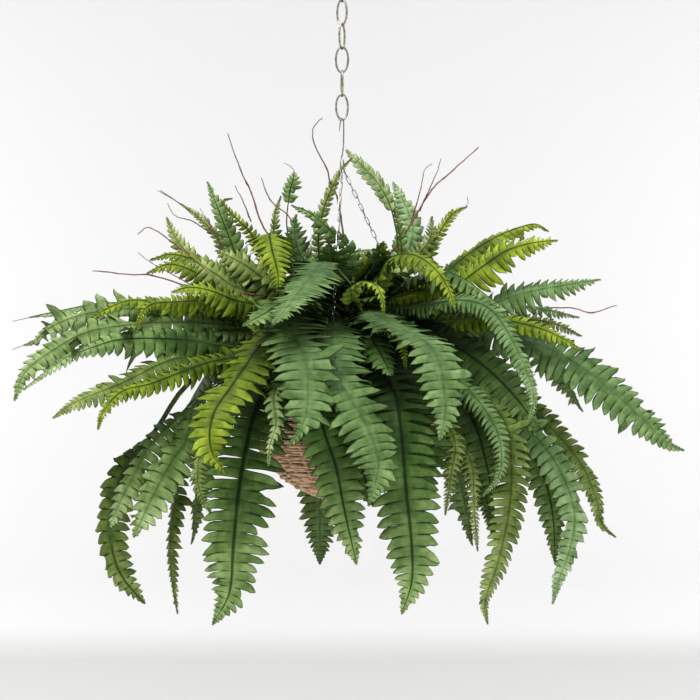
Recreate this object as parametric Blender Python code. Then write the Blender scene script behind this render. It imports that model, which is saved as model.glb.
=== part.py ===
"""Hanging basket of artificial Boston fern: the construction.

Frame: metres, +Z up. The origin is the centre of the ceiling plate's flat top face, and the basket
hangs straight below it: plate, screw hook, oval links, wire hook, three thin chains, basket rim.
Inside the basket are a liner, a foam block and a layer of moss. The fern's stem cluster sits on the
moss with its pick in the foam, and every frond and twig starts on that cluster.

Heights are measured from the middle of the rim's hoop. Azimuths are degrees in plan from +X, counter-
clockwise seen from above, so 270 is the front. Elevations are degrees over the horizontal.
"""

import math
from typing import NamedTuple

import bmesh
import bpy
from mathutils import Matrix, Vector
from mathutils.geometry import interpolate_bezier

GAP = 0.0003  # left between pieces that touch

# Ceiling plate and screw hook
PLATE_RADIUS = 0.022
PLATE_THICKNESS = 0.004
BOSS_RADIUS = 0.0085
BOSS_DEPTH = 0.013
HOOK_WIRE = 0.004
HOOK_EYE_RADIUS = 0.011
HOOK_DROP = 0.055  # from the ceiling to the lowest point of the screw hook

# Chain of oval links
LINK_COUNT = 6
LINK_LENGTH = 0.040
LINK_WIDTH = 0.021
LINK_WIRE = 0.003
LINK_PITCH = LINK_LENGTH - 2 * LINK_WIRE - GAP
LOWEST_LINK_YAW = 20
LINK_YAW_DRIFT = -15  # each link up the chain turns this much more than its quarter turn

# Wire hook and its eye, where the three thin chains meet
HANGER_WIRE = 0.002
HANGER_BEND_RADIUS = 0.0032
HANGER_LEG = 0.017
HANGER_LENGTH = 0.073
HANGER_YAW = -45
SHANK_BOW = 0.0036  # how far the shank stands off the axis in its middle
FOOT_SPLAY = 0.002
EYE_WIDTH = 0.006
EYE_HEIGHT = 0.017

# Thin chains
THIN_CHAIN_AZIMUTHS = (24, 144, 264)
THIN_CHAIN_RADIUS = 0.0022
THIN_CHAIN_SPREAD = 0.0028  # distance of the chains' upper ends from the axis

# Basket
RIM_Z = -0.6175
RIM_RADIUS = 0.150
RIM_WIRE_RADIUS = 0.008
BASKET_DEPTH = 0.180
BASKET_WALL = 0.007
LINER_WALL = 0.0015
FIT = 0.0012  # between the wall, the liner and the foam, one inside the other
LINER_TOP = -0.014  # this and the heights below are over the rim's middle
FOAM_TOP = -0.016
MOSS_EDGE = 0.006
MOSS_RISE = 0.010
MOSS_SHOULDER = 0.008
AROUND = 24  # segments round every turned piece of the basket

# Stem cluster: a round mound on the moss, with a pick that goes down into the foam
CROWN_RADIUS = 0.055
CROWN_HEIGHT = 0.0455
CROWN_AROUND = 30
PICK_RADIUS = 0.009
PICK_LENGTH = 0.075
PICK_POINT = 0.012

# Frond blades
SPINE_POINTS = 48
TEETH = 9
STEM_SHARE = 0.16  # the bare part of a frond, from its root
ROLL_SHARE = 0.4  # the part of a frond over which its roll comes in
STEM_THICKNESS = 0.0026
BLADE_THICKNESS = 0.0018
NOTCH_DEPTH = 0.24

# Twigs
TWIG_POINTS = 15
TWIG_BASE_RADIUS = 0.0016
TWIG_TIP_SHARE = 0.4
TWIG_COLLAR = 0.02  # the straight part at a twig's root

COLOURS = {
    "nickel": ((0.42, 0.40, 0.33), 0.35, 1.0),
    "steel": ((0.62, 0.62, 0.60), 0.30, 1.0),
    "wicker": ((0.38, 0.20, 0.11), 0.75, 0.0),
    "liner": ((0.01, 0.01, 0.01), 0.50, 0.0),
    "foam": ((0.05, 0.12, 0.05), 0.95, 0.0),
    "moss": ((0.09, 0.11, 0.03), 0.95, 0.0),
    "stem": ((0.05, 0.10, 0.03), 0.60, 0.0),
    "bark": ((0.20, 0.08, 0.06), 0.70, 0.0),
    "dark": ((0.035, 0.10, 0.03), 0.60, 0.0),
    "green": ((0.09, 0.21, 0.07), 0.60, 0.0),
    "lime": ((0.24, 0.36, 0.03), 0.60, 0.0),
    "olive": ((0.12, 0.18, 0.05), 0.60, 0.0),
    "sage": ((0.24, 0.36, 0.15), 0.60, 0.0),
    "blue": ((0.08, 0.21, 0.11), 0.60, 0.0),
}


class Frond(NamedTuple):
    """One frond: how it leaves the crown, where its tip is, and how it gets there."""

    name: str
    tone: str
    azimuth: float
    lift: float
    tip_azimuth: float
    reach: float
    height: float
    droop: float
    width: float
    roll: float = 0.0
    turn: float = 0.0
    bow: float = 0.40


class Twig(NamedTuple):
    """One curly twig: how it leaves the crown, and the points (x, y, height) that it passes."""

    name: str
    azimuth: float
    lift: float
    route: tuple[tuple[float, float, float], ...]


FRONDS = (
    # Left side
    Frond("frond_left_level", "dark", 174, 30, 175, 0.481, 0.077, -8, 0.068, -6),
    Frond("frond_left_pale_upper", "sage", 185, 25, 185, 0.464, 0.042, -15, 0.074, -22),
    Frond("frond_left_pale_long", "sage", 203, 8, 197, 0.462, -0.033, -62, 0.080, -25),
    Frond("frond_left_olive", "olive", 210, 2, 204, 0.420, -0.053, -28, 0.080, -30),
    Frond("frond_left_lime", "lime", 222, 14, 212, 0.378, -0.069, -58, 0.074, -30),
    Frond("frond_left_curled", "dark", 184, -2, 196, 0.284, -0.315, -121, 0.082, -32, bow=0.52),
    Frond("frond_left_sage", "sage", 214, -2, 208, 0.318, -0.221, -60, 0.084, -22),
    Frond("frond_left_edgewise", "olive", 168, 6, 184, 0.233, -0.341, -98, 0.070, -8),
    # Front
    Frond("frond_front_lime", "lime", 240, 20, 242, 0.306, -0.122, -118, 0.092, -15, bow=0.52),
    Frond("frond_front_left_dark", "dark", 236, 6, 230, 0.262, -0.325, -72, 0.092, -20),
    Frond("frond_front_mid", "green", 258, 42, 260, 0.304, -0.078, -96, 0.094, bow=0.46),
    Frond("frond_front_long", "green", 256, 26, 276, 0.302, -0.162, -72, 0.096, 0, -96, 0.46),
    Frond("frond_front_under", "dark", 244, 14, 276, 0.221, -0.249, -76, 0.070, 0, 84),
    Frond("frond_front_dark", "dark", 290, 8, 287, 0.251, -0.311, -72, 0.092, 0, -107, 0.44),
    Frond("frond_front_top", "green", 240, 67, 251, 0.315, 0.064, -38, 0.090),
    Frond("frond_front_right", "green", 294, 44, 294, 0.306, -0.079, -102, 0.084, bow=0.48),
    # Right side
    Frond("frond_right_blue", "blue", 338, 14, 343, 0.302, -0.315, -108, 0.080, 28, bow=0.52),
    Frond("frond_right_olive", "olive", 356, 22, 357, 0.388, -0.229, -60, 0.074, 27),
    Frond("frond_right_hanging", "olive", 342, 6, 317, 0.264, -0.329, -80, 0.086, 24, -110, 0.54),
    Frond("frond_right_narrow", "olive", 318, 14, 327, 0.220, -0.239, -84, 0.066),
    Frond("frond_right_long", "dark", 350, 26, 348, 0.481, -0.101, -36, 0.088, 32),
    Frond("frond_right_front", "blue", 322, 38, 321, 0.316, -0.063, -98, 0.078, bow=0.46),
    Frond("frond_right_rising", "green", 338, 36, 347, 0.367, 0.133, 2, 0.072, 30),
    Frond("frond_right_lime", "lime", 330, 41, 345, 0.308, 0.186, 2, 0.074, 30),
    # Top
    Frond("frond_top_left", "dark", 180, 52, 180, 0.195, 0.277, 70, 0.060, -25),
    Frond("frond_top_middle", "dark", 184, 68, 168, 0.098, 0.305, 84, 0.056, -20),
    Frond("frond_top_front", "lime", 202, 60, 245, 0.212, 0.132, -66, 0.074, 0, 40, 0.56),
    Frond("frond_top_right", "blue", 56, 66, 58, 0.121, 0.285, 52, 0.062, 0, 124),
    # Back
    Frond("frond_back_right_long", "green", 40, 40, 32, 0.440, -0.060, -46, 0.088),
    Frond("frond_back_right", "dark", 48, 18, 46, 0.270, -0.290, -88, 0.090),
    Frond("frond_back_mid_right", "green", 72, 42, 74, 0.380, -0.100, -66, 0.090),
    Frond("frond_back_mid", "dark", 98, 16, 98, 0.260, -0.300, -90, 0.090),
    Frond("frond_back_mid_left", "olive", 122, 42, 120, 0.390, -0.080, -62, 0.088),
    Frond("frond_back_left", "dark", 148, 18, 148, 0.270, -0.280, -86, 0.088),
)

TWIGS = (
    Twig("twig_left_tall", 160, 62, (
        (-0.060, 0.020, 0.150), (-0.113, 0.030, 0.209), (-0.131, 0.030, 0.263),
        (-0.144, 0.032, 0.288), (-0.165, 0.035, 0.348),
    )),
    Twig("twig_middle", 90, 84, (
        (0.000, 0.020, 0.150), (0.000, 0.026, 0.199), (-0.006, 0.026, 0.248), (-0.017, 0.026, 0.277),
        (-0.023, 0.024, 0.298), (-0.041, 0.022, 0.334), (-0.041, 0.020, 0.355), (-0.028, 0.020, 0.368),
    )),
    Twig("twig_right_tall", 5, 68, (
        (0.050, 0.000, 0.150), (0.086, -0.010, 0.195), (0.128, -0.016, 0.263), (0.146, -0.018, 0.280),
        (0.193, -0.020, 0.322),
    )),
    Twig("twig_left_low", 160, 46, (
        (-0.080, 0.030, 0.112), (-0.145, 0.045, 0.107), (-0.237, 0.060, 0.131), (-0.285, 0.065, 0.145),
        (-0.305, 0.066, 0.145), (-0.365, 0.070, 0.151),
    )),
    Twig("twig_left_middle", 190, 48, (
        (-0.080, -0.024, 0.112), (-0.155, -0.040, 0.121), (-0.213, -0.045, 0.166), (-0.236, -0.045, 0.185),
        (-0.270, -0.046, 0.207), (-0.285, -0.048, 0.197),
    )),
    Twig("twig_left_upper", 150, 62, (
        (-0.070, 0.040, 0.130), (-0.150, 0.050, 0.150), (-0.176, 0.052, 0.192), (-0.220, 0.055, 0.237),
        (-0.265, 0.060, 0.268),
    )),
    Twig("twig_right_low", 6, 44, (
        (0.080, 0.015, 0.100), (0.180, 0.030, 0.112), (0.270, 0.040, 0.098), (0.335, 0.045, 0.097),
        (0.363, 0.045, 0.089), (0.398, 0.046, 0.100),
    )),
    Twig("twig_back", 120, 70, (
        (-0.030, 0.060, 0.150), (-0.060, 0.120, 0.200), (-0.085, 0.160, 0.240), (-0.110, 0.180, 0.262),
        (-0.125, 0.210, 0.300),
    )),
)


def direction(azimuth, elevation):
    """The unit vector at this azimuth and elevation, in degrees."""
    plan, rise = math.radians(azimuth), math.radians(elevation)
    return Vector((math.cos(plan) * math.cos(rise), math.sin(plan) * math.cos(rise), math.sin(rise)))


def over_rim(radius, azimuth, height):
    """The point at this distance from the axis, azimuth and height over the rim."""
    return direction(azimuth, 0) * radius + Vector((0, 0, RIM_Z + height))


def dress(piece, colour):
    """Gives the piece a material of its own in one of the named colours, and smooth round faces."""
    base, roughness, metallic = COLOURS[colour]
    material = bpy.data.materials.new(piece.name)
    material.use_nodes = True
    shader = material.node_tree.nodes["Principled BSDF"]
    shader.inputs["Base Color"].default_value = (*base, 1)
    shader.inputs["Roughness"].default_value = roughness
    shader.inputs["Metallic"].default_value = metallic
    piece.data.materials.append(material)
    if piece.type == "MESH":
        piece.data.shade_smooth()
        piece.data.set_sharp_from_angle(angle=math.radians(40))
    return piece


def place(name, data, colour):
    """Puts a mesh or curve in the scene as one named piece."""
    piece = bpy.data.objects.new(name, data)
    bpy.context.collection.objects.link(piece)
    return dress(piece, colour)


def turned(name, profile, colour, around=AROUND):
    """A solid of revolution about the Z axis from its half section, a list of (radius, z)."""
    shape = bmesh.new()
    rail = [shape.verts.new((radius, 0, z)) for radius, z in profile]
    edges = [shape.edges.new(pair) for pair in zip(rail, rail[1:])]
    if profile[0][0] > 0:
        edges.append(shape.edges.new((rail[-1], rail[0])))
    bmesh.ops.spin(
        shape, geom=rail + edges, cent=(0, 0, 0), axis=(0, 0, 1), angle=math.tau, steps=around,
        use_merge=True,
    )
    bmesh.ops.remove_doubles(shape, verts=shape.verts, dist=1e-6)
    bmesh.ops.recalc_face_normals(shape, faces=shape.faces)
    mesh = bpy.data.meshes.new(name)
    shape.to_mesh(mesh)
    shape.free()
    return place(name, mesh, colour)


def wire(name, points, radius, colour, closed=False, rounding=2, taper=None):
    """A round wire along the points, with filled ends unless it is closed."""
    curve = bpy.data.curves.new(name, "CURVE")
    curve.dimensions = "3D"
    curve.bevel_depth = radius
    curve.bevel_resolution = rounding
    curve.use_fill_caps = not closed
    spline = curve.splines.new("POLY")
    spline.points.add(len(points) - 1)
    for index, (knot, point) in enumerate(zip(spline.points, points)):
        knot.co = (*point, 1)
        knot.radius = taper(index / (len(points) - 1)) if taper else 1
    spline.use_cyclic_u = closed
    return place(name, curve, colour)


def smooth_route(points, count):
    """A smooth curve through the points, as this many points evenly along it."""
    dense = []
    ends = [2 * points[0] - points[1], *points, 2 * points[-1] - points[-2]]
    for before, start, end, after in zip(ends, ends[1:], ends[2:], ends[3:]):
        dense += interpolate_bezier(start, start + (end - before) / 6, end - (after - start) / 6, end, 12)[:-1]
    return evenly(dense + [points[-1]], count)


def evenly(points, count):
    """The polyline's points, spaced evenly along its length."""
    lengths = [0.0]
    for start, end in zip(points, points[1:]):
        lengths.append(lengths[-1] + (end - start).length)
    result, segment = [], 0
    for step in range(count):
        wanted = lengths[-1] * step / (count - 1)
        while segment < len(points) - 2 and lengths[segment + 1] < wanted:
            segment += 1
        share = (wanted - lengths[segment]) / (lengths[segment + 1] - lengths[segment])
        result.append(points[segment].lerp(points[segment + 1], share))
    return result


def arc(centre, radius, start, end, count):
    """Points (x, z) along an arc in the XZ plane, in degrees counter-clockwise from +X."""
    angles = [math.radians(start + (end - start) * step / (count - 1)) for step in range(count)]
    return [(centre[0] + radius * math.cos(a), centre[1] + radius * math.sin(a)) for a in angles]


def upright(points, yaw):
    """The (x, z) points in the vertical plane through the Z axis at this yaw."""
    turn = Matrix.Rotation(math.radians(yaw), 3, "Z")
    return [turn @ Vector((x, 0, z)) for x, z in points]


def link_yaw(index):
    """The yaw of a link's plane; index 0 is the top link."""
    above = LINK_COUNT - 1 - index
    return LOWEST_LINK_YAW + above * LINK_YAW_DRIFT + 90 * (above % 2)


def link_centre(index):
    """The height of a link's centre, index 0 hanging on the screw hook."""
    top = -HOOK_DROP + HOOK_WIRE + GAP + LINK_WIRE
    return top - LINK_LENGTH / 2 - index * LINK_PITCH


def make_ceiling_fitting():
    """The plate, with a blind socket in its boss, and the screw hook that is screwed into it."""
    socket = HOOK_WIRE / 2 + GAP
    turned("ceiling_plate", [
        (0, 0), (PLATE_RADIUS, 0), (PLATE_RADIUS, -PLATE_THICKNESS / 2),
        (PLATE_RADIUS - PLATE_THICKNESS / 2, -PLATE_THICKNESS), (BOSS_RADIUS, -PLATE_THICKNESS),
        (BOSS_RADIUS, -BOSS_DEPTH), (socket, -BOSS_DEPTH), (socket, -PLATE_THICKNESS), (0, -PLATE_THICKNESS),
    ], "nickel")
    centre = (0, -HOOK_DROP + HOOK_WIRE / 2 + HOOK_EYE_RADIUS)
    shank = [(0, -PLATE_THICKNESS - GAP), (0, -BOSS_DEPTH), (0, centre[1] + HOOK_EYE_RADIUS + 0.001)]
    neck = (-0.0024, centre[1] + HOOK_EYE_RADIUS - 0.0005)
    eye = arc(centre, HOOK_EYE_RADIUS, 124, 395, 20)
    wire("ceiling_hook", upright([*shank, neck, *eye], link_yaw(0) + 90), HOOK_WIRE / 2, "nickel")


def make_links():
    """The chain of oval links, each passing through the next."""
    half_length = (LINK_LENGTH - LINK_WIRE) / 2
    half_width = (LINK_WIDTH - LINK_WIRE) / 2
    oval = [(half_width * x, half_length * z) for x, z in arc((0, 0), 1, 0, 342, 20)]
    for index in range(LINK_COUNT):
        placed = [(x, z + link_centre(index)) for x, z in oval]
        route = upright(placed, link_yaw(index))
        wire(f"chain_link_{index + 1}", route, LINK_WIRE / 2, "nickel", closed=True, rounding=1)


def hanger_top():
    """The height of the middle of the hanger's wire where it lies over the lowest link."""
    return link_centre(LINK_COUNT - 1) - LINK_LENGTH / 2 + LINK_WIRE + GAP + HANGER_WIRE / 2


def eye_bottom():
    """The height of the lowest point of the hanger's eye."""
    return hanger_top() - HANGER_LENGTH - HANGER_WIRE / 2


def make_hanger():
    """The thin wire hook: a short leg, a bend over the lowest link, a long shank and a narrow eye."""
    bend_centre = (0, hanger_top() - HANGER_BEND_RADIUS)
    bend = arc(bend_centre, HANGER_BEND_RADIUS, 180, 0, 9)
    foot = (-HANGER_BEND_RADIUS - FOOT_SPLAY, bend_centre[1] - HANGER_LEG)
    eye_top = hanger_top() - HANGER_LENGTH + EYE_HEIGHT
    half = EYE_WIDTH / 2
    shank = [(SHANK_BOW, eye_top + 2 * EYE_HEIGHT), (SHANK_BOW - 0.0004, eye_top + EYE_HEIGHT)]
    shank += [(half / 3, eye_top + 0.004), (-half / 3, eye_top)]
    eye = [(-half, eye_top - half * 2), *arc((0, eye_top - EYE_HEIGHT + half), half, 180, 360, 9)]
    eye += [(half, eye_top - half * 2), (half * 0.75, eye_top - 0.0025)]
    route = upright([foot, *bend, *shank, *eye], HANGER_YAW)
    wire("hanger_hook", route, HANGER_WIRE / 2, "steel", rounding=1)


def make_thin_chains():
    """Three thin chains, each one straight solid from the hanger's eye to the rim's hoop."""
    for number, azimuth in enumerate(THIN_CHAIN_AZIMUTHS, 1):
        low = over_rim(RIM_RADIUS, azimuth, RIM_WIRE_RADIUS + THIN_CHAIN_RADIUS / 2)
        high = direction(azimuth, 0) * THIN_CHAIN_SPREAD
        high.z = eye_bottom()
        wire(f"thin_chain_{number}", [high, low], THIN_CHAIN_RADIUS, "steel", rounding=1)


def bowl(radius, depth, top, count, reverse=False):
    """Points (radius, z) down one side of a bowl with an elliptical section, from its edge to the axis."""
    start = math.degrees(math.asin(-top / depth))
    points = [
        (radius * math.cos(math.radians(a)), RIM_Z - depth * math.sin(math.radians(a)))
        for a in (start + (90 - start) * step / count for step in range(count))
    ] + [(0, RIM_Z - depth)]
    return points[::-1] if reverse else points


def make_basket():
    """The woven wall, the hoop on its edge, the liner and the foam inside, and the moss on top."""
    wall_top = -RIM_WIRE_RADIUS - GAP
    outer = bowl(RIM_RADIUS, BASKET_DEPTH, wall_top, 9)
    inner = bowl(RIM_RADIUS - BASKET_WALL, BASKET_DEPTH - BASKET_WALL, wall_top, 9, True)
    turned("basket_wall", inner + outer, "wicker")
    hoop = [over_rim(RIM_RADIUS, 360 * step / AROUND, 0) for step in range(AROUND)]
    wire("basket_rim", hoop, RIM_WIRE_RADIUS, "wicker", closed=True)

    inset = BASKET_WALL + FIT
    outer = bowl(RIM_RADIUS - inset, BASKET_DEPTH - inset, LINER_TOP, 8)
    inset += LINER_WALL
    inner = bowl(RIM_RADIUS - inset, BASKET_DEPTH - inset, LINER_TOP, 8, True)
    turned("basket_liner", inner + outer, "liner")

    inset += FIT
    side = bowl(RIM_RADIUS - inset, BASKET_DEPTH - inset, FOAM_TOP, 7, True)
    hole = PICK_RADIUS + GAP
    turned("foam_block", side + [(hole, RIM_Z + FOAM_TOP), (hole, pick_tip() - GAP), (0, pick_tip() - GAP)], "foam")
    make_moss(side[-1][0], hole)


def make_moss(radius, hole):
    """The layer of moss: a low dome with a hole for the pick, flat where the crown sits."""
    low = RIM_Z + FOAM_TOP + GAP
    edge = RIM_Z + MOSS_EDGE
    top = crown_seat() - GAP
    flat = math.sqrt(CROWN_RADIUS**2 - (CROWN_HEIGHT - MOSS_RISE) ** 2) + MOSS_SHOULDER / 2
    side = [(radius, low), (radius + LINER_WALL, edge - MOSS_SHOULDER), (radius - MOSS_SHOULDER, edge)]
    turned("moss_layer", [(hole, low), *side, (flat, top), (hole, top)], "moss")


def crown_seat():
    """The height at which the stem cluster sits on the moss."""
    return RIM_Z + MOSS_RISE


def pick_tip():
    """The height of the pick's lower end, which stands on the bottom of its hole in the foam."""
    return RIM_Z + CROWN_HEIGHT - CROWN_RADIUS - PICK_LENGTH


def make_crown():
    """The gathered stems: a mound that all fronds start on, with a pointed pick below."""
    centre = RIM_Z + CROWN_HEIGHT
    lowest = math.degrees(math.asin((crown_seat() - centre) / CROWN_RADIUS))
    top, *mound = arc((0, centre), CROWN_RADIUS, 90, lowest, 12)
    pick = [(PICK_RADIUS, crown_seat()), (PICK_RADIUS, pick_tip() + PICK_POINT), (0, pick_tip())]
    turned("fern_crown", [(0, top[1]), *mound, *pick], "stem", CROWN_AROUND)


def crown_root(azimuth, lift):
    """The point just off the crown where a stem with this direction starts, square to the surface."""
    return over_rim(0, 0, CROWN_HEIGHT) + direction(azimuth, lift) * (CROWN_RADIUS + GAP)


def spine(frond):
    """The frond's midline: one smooth arch from the crown to the tip, evenly spaced."""
    root = crown_root(frond.azimuth, frond.lift)
    tip = over_rim(frond.reach, frond.tip_azimuth, frond.height)
    handle = (tip - root).length * frond.bow
    leave = root + direction(frond.azimuth, frond.lift) * handle
    arrive = tip - direction(frond.tip_azimuth + frond.turn, frond.droop) * handle
    return evenly(interpolate_bezier(root, leave, arrive, tip, 200), SPINE_POINTS + 1)


def blade_share(along):
    """The blade's half width at a share of the frond's length, as a share of its greatest."""
    if along <= STEM_SHARE:
        return 0.0
    t = (along - STEM_SHARE) / (1 - STEM_SHARE)
    return min(1.0, 0.35 + 2.6 * t) * (1 - t**2.6) ** 0.8


def cross_section(frond, points, along, notch):
    """Four corners of the blade here: left edge, ridge, right edge, underside."""
    index = min(round(along * SPINE_POINTS), SPINE_POINTS)
    ahead, behind = points[min(index + 1, SPINE_POINTS)], points[max(index - 1, 0)]
    forward = (ahead - behind).normalized()
    heading = math.radians(frond.azimuth + (frond.tip_azimuth - frond.azimuth) * along)
    across = Vector((-math.sin(heading), math.cos(heading), 0))
    across = (across - forward * across.dot(forward)).normalized()
    across.rotate(Matrix.Rotation(math.radians(frond.roll) * min(1, along / ROLL_SHARE), 3, forward))
    normal = forward.cross(across)
    half = max(STEM_THICKNESS / 2, frond.width / 2 * blade_share(along) * notch)
    thick = (STEM_THICKNESS if along <= STEM_SHARE else BLADE_THICKNESS) / 2
    here = points[index]
    return [here + across * half, here + normal * thick, here - across * half, here - normal * thick]


def make_frond(frond):
    """One frond: a thin closed blade with a toothed outline on a bare round stem."""
    points = spine(frond)
    stations = [(0.0, 1.0), (STEM_SHARE / 2, 1.0), (STEM_SHARE, 1.0)]
    for tooth in range(TEETH):
        for part, notch in ((0.35, 1.0), (1.0, 1 - NOTCH_DEPTH)):
            stations.append((STEM_SHARE + (1 - STEM_SHARE) * (tooth + part) / TEETH, notch))
    shape = bmesh.new()
    rings = [[shape.verts.new(p) for p in cross_section(frond, points, *s)] for s in stations]
    for ring, following in zip(rings, rings[1:]):
        for edge in (0, 2):
            # Both sides of the blade fold along the same diagonals, so that they never cross where it twists
            ridge, under = edge + 1, (edge - 1) % 4
            shape.faces.new((ring[edge], ring[ridge], following[ridge]))
            shape.faces.new((ring[edge], following[ridge], following[edge]))
            shape.faces.new((ring[edge], following[under], ring[under]))
            shape.faces.new((ring[edge], following[edge], following[under]))
    shape.faces.new(rings[0][::-1])
    shape.faces.new(rings[-1])
    bmesh.ops.recalc_face_normals(shape, faces=shape.faces)
    mesh = bpy.data.meshes.new(frond.name)
    shape.to_mesh(mesh)
    shape.free()
    place(frond.name, mesh, frond.tone)


def make_twig(twig):
    """One twig: a thin tapering wire through its points, starting on the crown."""
    root = crown_root(twig.azimuth, twig.lift)
    clear = root + direction(twig.azimuth, twig.lift) * TWIG_COLLAR
    route = [root, clear, *(Vector((x, y, RIM_Z + height)) for x, y, height in twig.route)]

    def taper(share):
        return 1 - (1 - TWIG_TIP_SHARE) * share

    points = smooth_route(route, TWIG_POINTS)
    wire(twig.name, points, TWIG_BASE_RADIUS, "bark", rounding=1, taper=taper)


def main():
    """Builds the whole basket from the ceiling down."""
    for leftover in list(bpy.data.objects):
        bpy.data.objects.remove(leftover)
    make_ceiling_fitting()
    make_links()
    make_hanger()
    make_thin_chains()
    make_basket()
    make_crown()
    for frond in FRONDS:
        make_frond(frond)
    for twig in TWIGS:
        make_twig(twig)


main()
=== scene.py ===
"""Hanging basket of artificial Boston fern: the looks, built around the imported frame.

Units are metres, +Z is up, and the origin is the centre of the ceiling plate's top face. The basket hangs
straight below it. Azimuths are degrees in plan from +X, counter-clockwise seen from above, so 270 is the
front. Elevations are degrees over the horizontal, and heights are over the middle of the basket's rim. The
tables of fronds and twigs give their widths and points in whole millimetres.

Every frond is cut from a flat blade that is modelled once for its number of leaflets, and is then laid
along its own midline. Every stem, twig and stake is a straight rod, modelled once and bent along its path.
"""

import logging
import math
import zlib
from collections.abc import Callable, Iterator, Sequence
from contextlib import contextmanager
from dataclasses import dataclass, field
from enum import Enum
from functools import cache, partial, reduce

import bmesh
import bpy
import numpy as np
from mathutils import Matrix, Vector
from mathutils.geometry import interpolate_bezier


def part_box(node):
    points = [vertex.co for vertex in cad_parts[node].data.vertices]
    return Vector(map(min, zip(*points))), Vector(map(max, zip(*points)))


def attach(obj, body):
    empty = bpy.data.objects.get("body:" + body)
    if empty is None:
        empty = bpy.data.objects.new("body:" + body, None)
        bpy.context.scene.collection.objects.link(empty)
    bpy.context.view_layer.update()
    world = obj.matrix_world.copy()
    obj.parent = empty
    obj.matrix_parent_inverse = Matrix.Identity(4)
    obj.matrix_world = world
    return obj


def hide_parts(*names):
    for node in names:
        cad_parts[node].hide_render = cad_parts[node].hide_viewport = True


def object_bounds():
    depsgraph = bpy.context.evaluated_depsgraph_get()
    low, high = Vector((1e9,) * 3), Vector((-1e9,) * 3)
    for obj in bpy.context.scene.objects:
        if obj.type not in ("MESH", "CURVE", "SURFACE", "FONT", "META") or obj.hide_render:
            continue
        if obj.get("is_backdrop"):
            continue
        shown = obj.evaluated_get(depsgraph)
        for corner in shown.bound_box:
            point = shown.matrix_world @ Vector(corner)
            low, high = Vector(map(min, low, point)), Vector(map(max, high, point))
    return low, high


LOG = logging.getLogger("hanging_fern")
ROOT = "root"

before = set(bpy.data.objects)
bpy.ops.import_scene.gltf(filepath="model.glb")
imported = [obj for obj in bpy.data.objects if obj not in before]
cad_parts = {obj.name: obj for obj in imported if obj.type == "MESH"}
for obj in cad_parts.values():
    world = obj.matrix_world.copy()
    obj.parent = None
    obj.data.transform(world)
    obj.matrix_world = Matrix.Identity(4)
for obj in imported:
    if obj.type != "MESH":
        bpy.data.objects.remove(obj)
CAD_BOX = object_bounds()

Array = np.ndarray
Piece = bpy.types.Object
Mesh = bpy.types.Mesh
Material = bpy.types.Material
Socket = bpy.types.NodeSocket
Point = tuple[float, float, float]
Colour = tuple[float, float, float]
Route = tuple[Point, ...]

UP = np.array((0.0, 0.0, 1.0))
COLLAR = 0.02  # how far a stem goes straight on from the crown
STRETCH = 12  # how many points a curve has for each stretch of its route
LINE_POINTS = 160  # how many points a frond's line has


# ---- Places and lines ----


def direction(azimuth: float, elevation: float) -> Vector:
    """Returns the unit vector at this azimuth and elevation, in degrees."""
    plan, rise = math.radians(azimuth), math.radians(elevation)
    return Vector((math.cos(plan) * math.cos(rise), math.sin(plan) * math.cos(rise), math.sin(rise)))


def metres(route: Sequence[Point]) -> Route:
    """Returns a route that is given in millimetres in metres."""
    return tuple(tuple(value / 1000 for value in point) for point in route)


def unit(rows: Array) -> Array:
    """Returns the rows at unit length."""
    return rows / np.linalg.norm(rows, axis=1, keepdims=True)


def stations(line: Array) -> Array:
    """Returns how far along the line each of its points is."""
    return np.concatenate([[0.0], np.cumsum(np.linalg.norm(np.diff(line, axis=0), axis=1))])


def read(rows: Array, places: Array, wanted: Array) -> Array:
    """Returns the rows' values at the wanted places between their own."""
    return np.stack([np.interp(wanted, places, column) for column in rows.T], axis=1)


def evenly(line: Array, count: int) -> Array:
    """Returns this many points evenly spaced along a line."""
    places = stations(line)
    return read(line, places, np.linspace(0, places[-1], count))


def draws(name: str) -> np.random.Generator:
    """Returns a random generator of the piece's own, the same on every run."""
    return np.random.default_rng(zlib.crc32(name.encode()))


class Setting:
    """The few places and sizes that everything else is worked out from."""

    def __init__(self) -> None:
        """Reads them off the boxes of the rim, the wall and the crown."""
        low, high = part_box("basket_rim")
        self.rim_wire = (high.z - low.z) / 2
        self.rim_height = (low.z + high.z) / 2
        self.rim_radius = (high.x - low.x) / 2 - self.rim_wire
        self.basket_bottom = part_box("basket_wall")[0].z
        low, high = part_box("fern_crown")
        self.crown_radius = (high.x - low.x) / 2
        self.crown_centre = high.z - self.crown_radius

    def placed(self, route: Route) -> list[Vector]:
        """Returns the route's points with their heights counted from the rim."""
        return [Vector((x, y, self.rim_height + height)) for x, y, height in route]

    def stem(self, azimuth: float, lift: float, route: Route) -> list[Vector]:
        """Finds the points of a stem that is pushed into the crown.

        Args:
            azimuth: where it points as it leaves the crown.
            lift: its elevation there.
            route: the points that it passes after its straight start.

        Returns:
            Its root, the end of its straight start, and the placed route.
        """
        ahead = direction(azimuth, lift)
        root = Vector((0, 0, self.crown_centre)) + ahead * self.crown_radius
        return [root, root + ahead * COLLAR, *self.placed(route)]


def rounded(points: Sequence[Vector]) -> Array:
    """Draws one smooth curve through a route.

    Args:
        points: the points that it passes.

    Returns:
        The curve's points, a row for each.
    """
    dense: list[Vector] = []
    ends = [2 * points[0] - points[1], *points, 2 * points[-1] - points[-2]]
    for before, start, end, after in zip(ends, ends[1:], ends[2:], ends[3:]):
        reach = (end - start).length / 3
        handles = (start + (end - before).normalized() * reach, end - (after - start).normalized() * reach)
        dense += interpolate_bezier(start, *handles, end, STRETCH)[:-1]
    return np.array([*dense, points[-1]])


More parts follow.
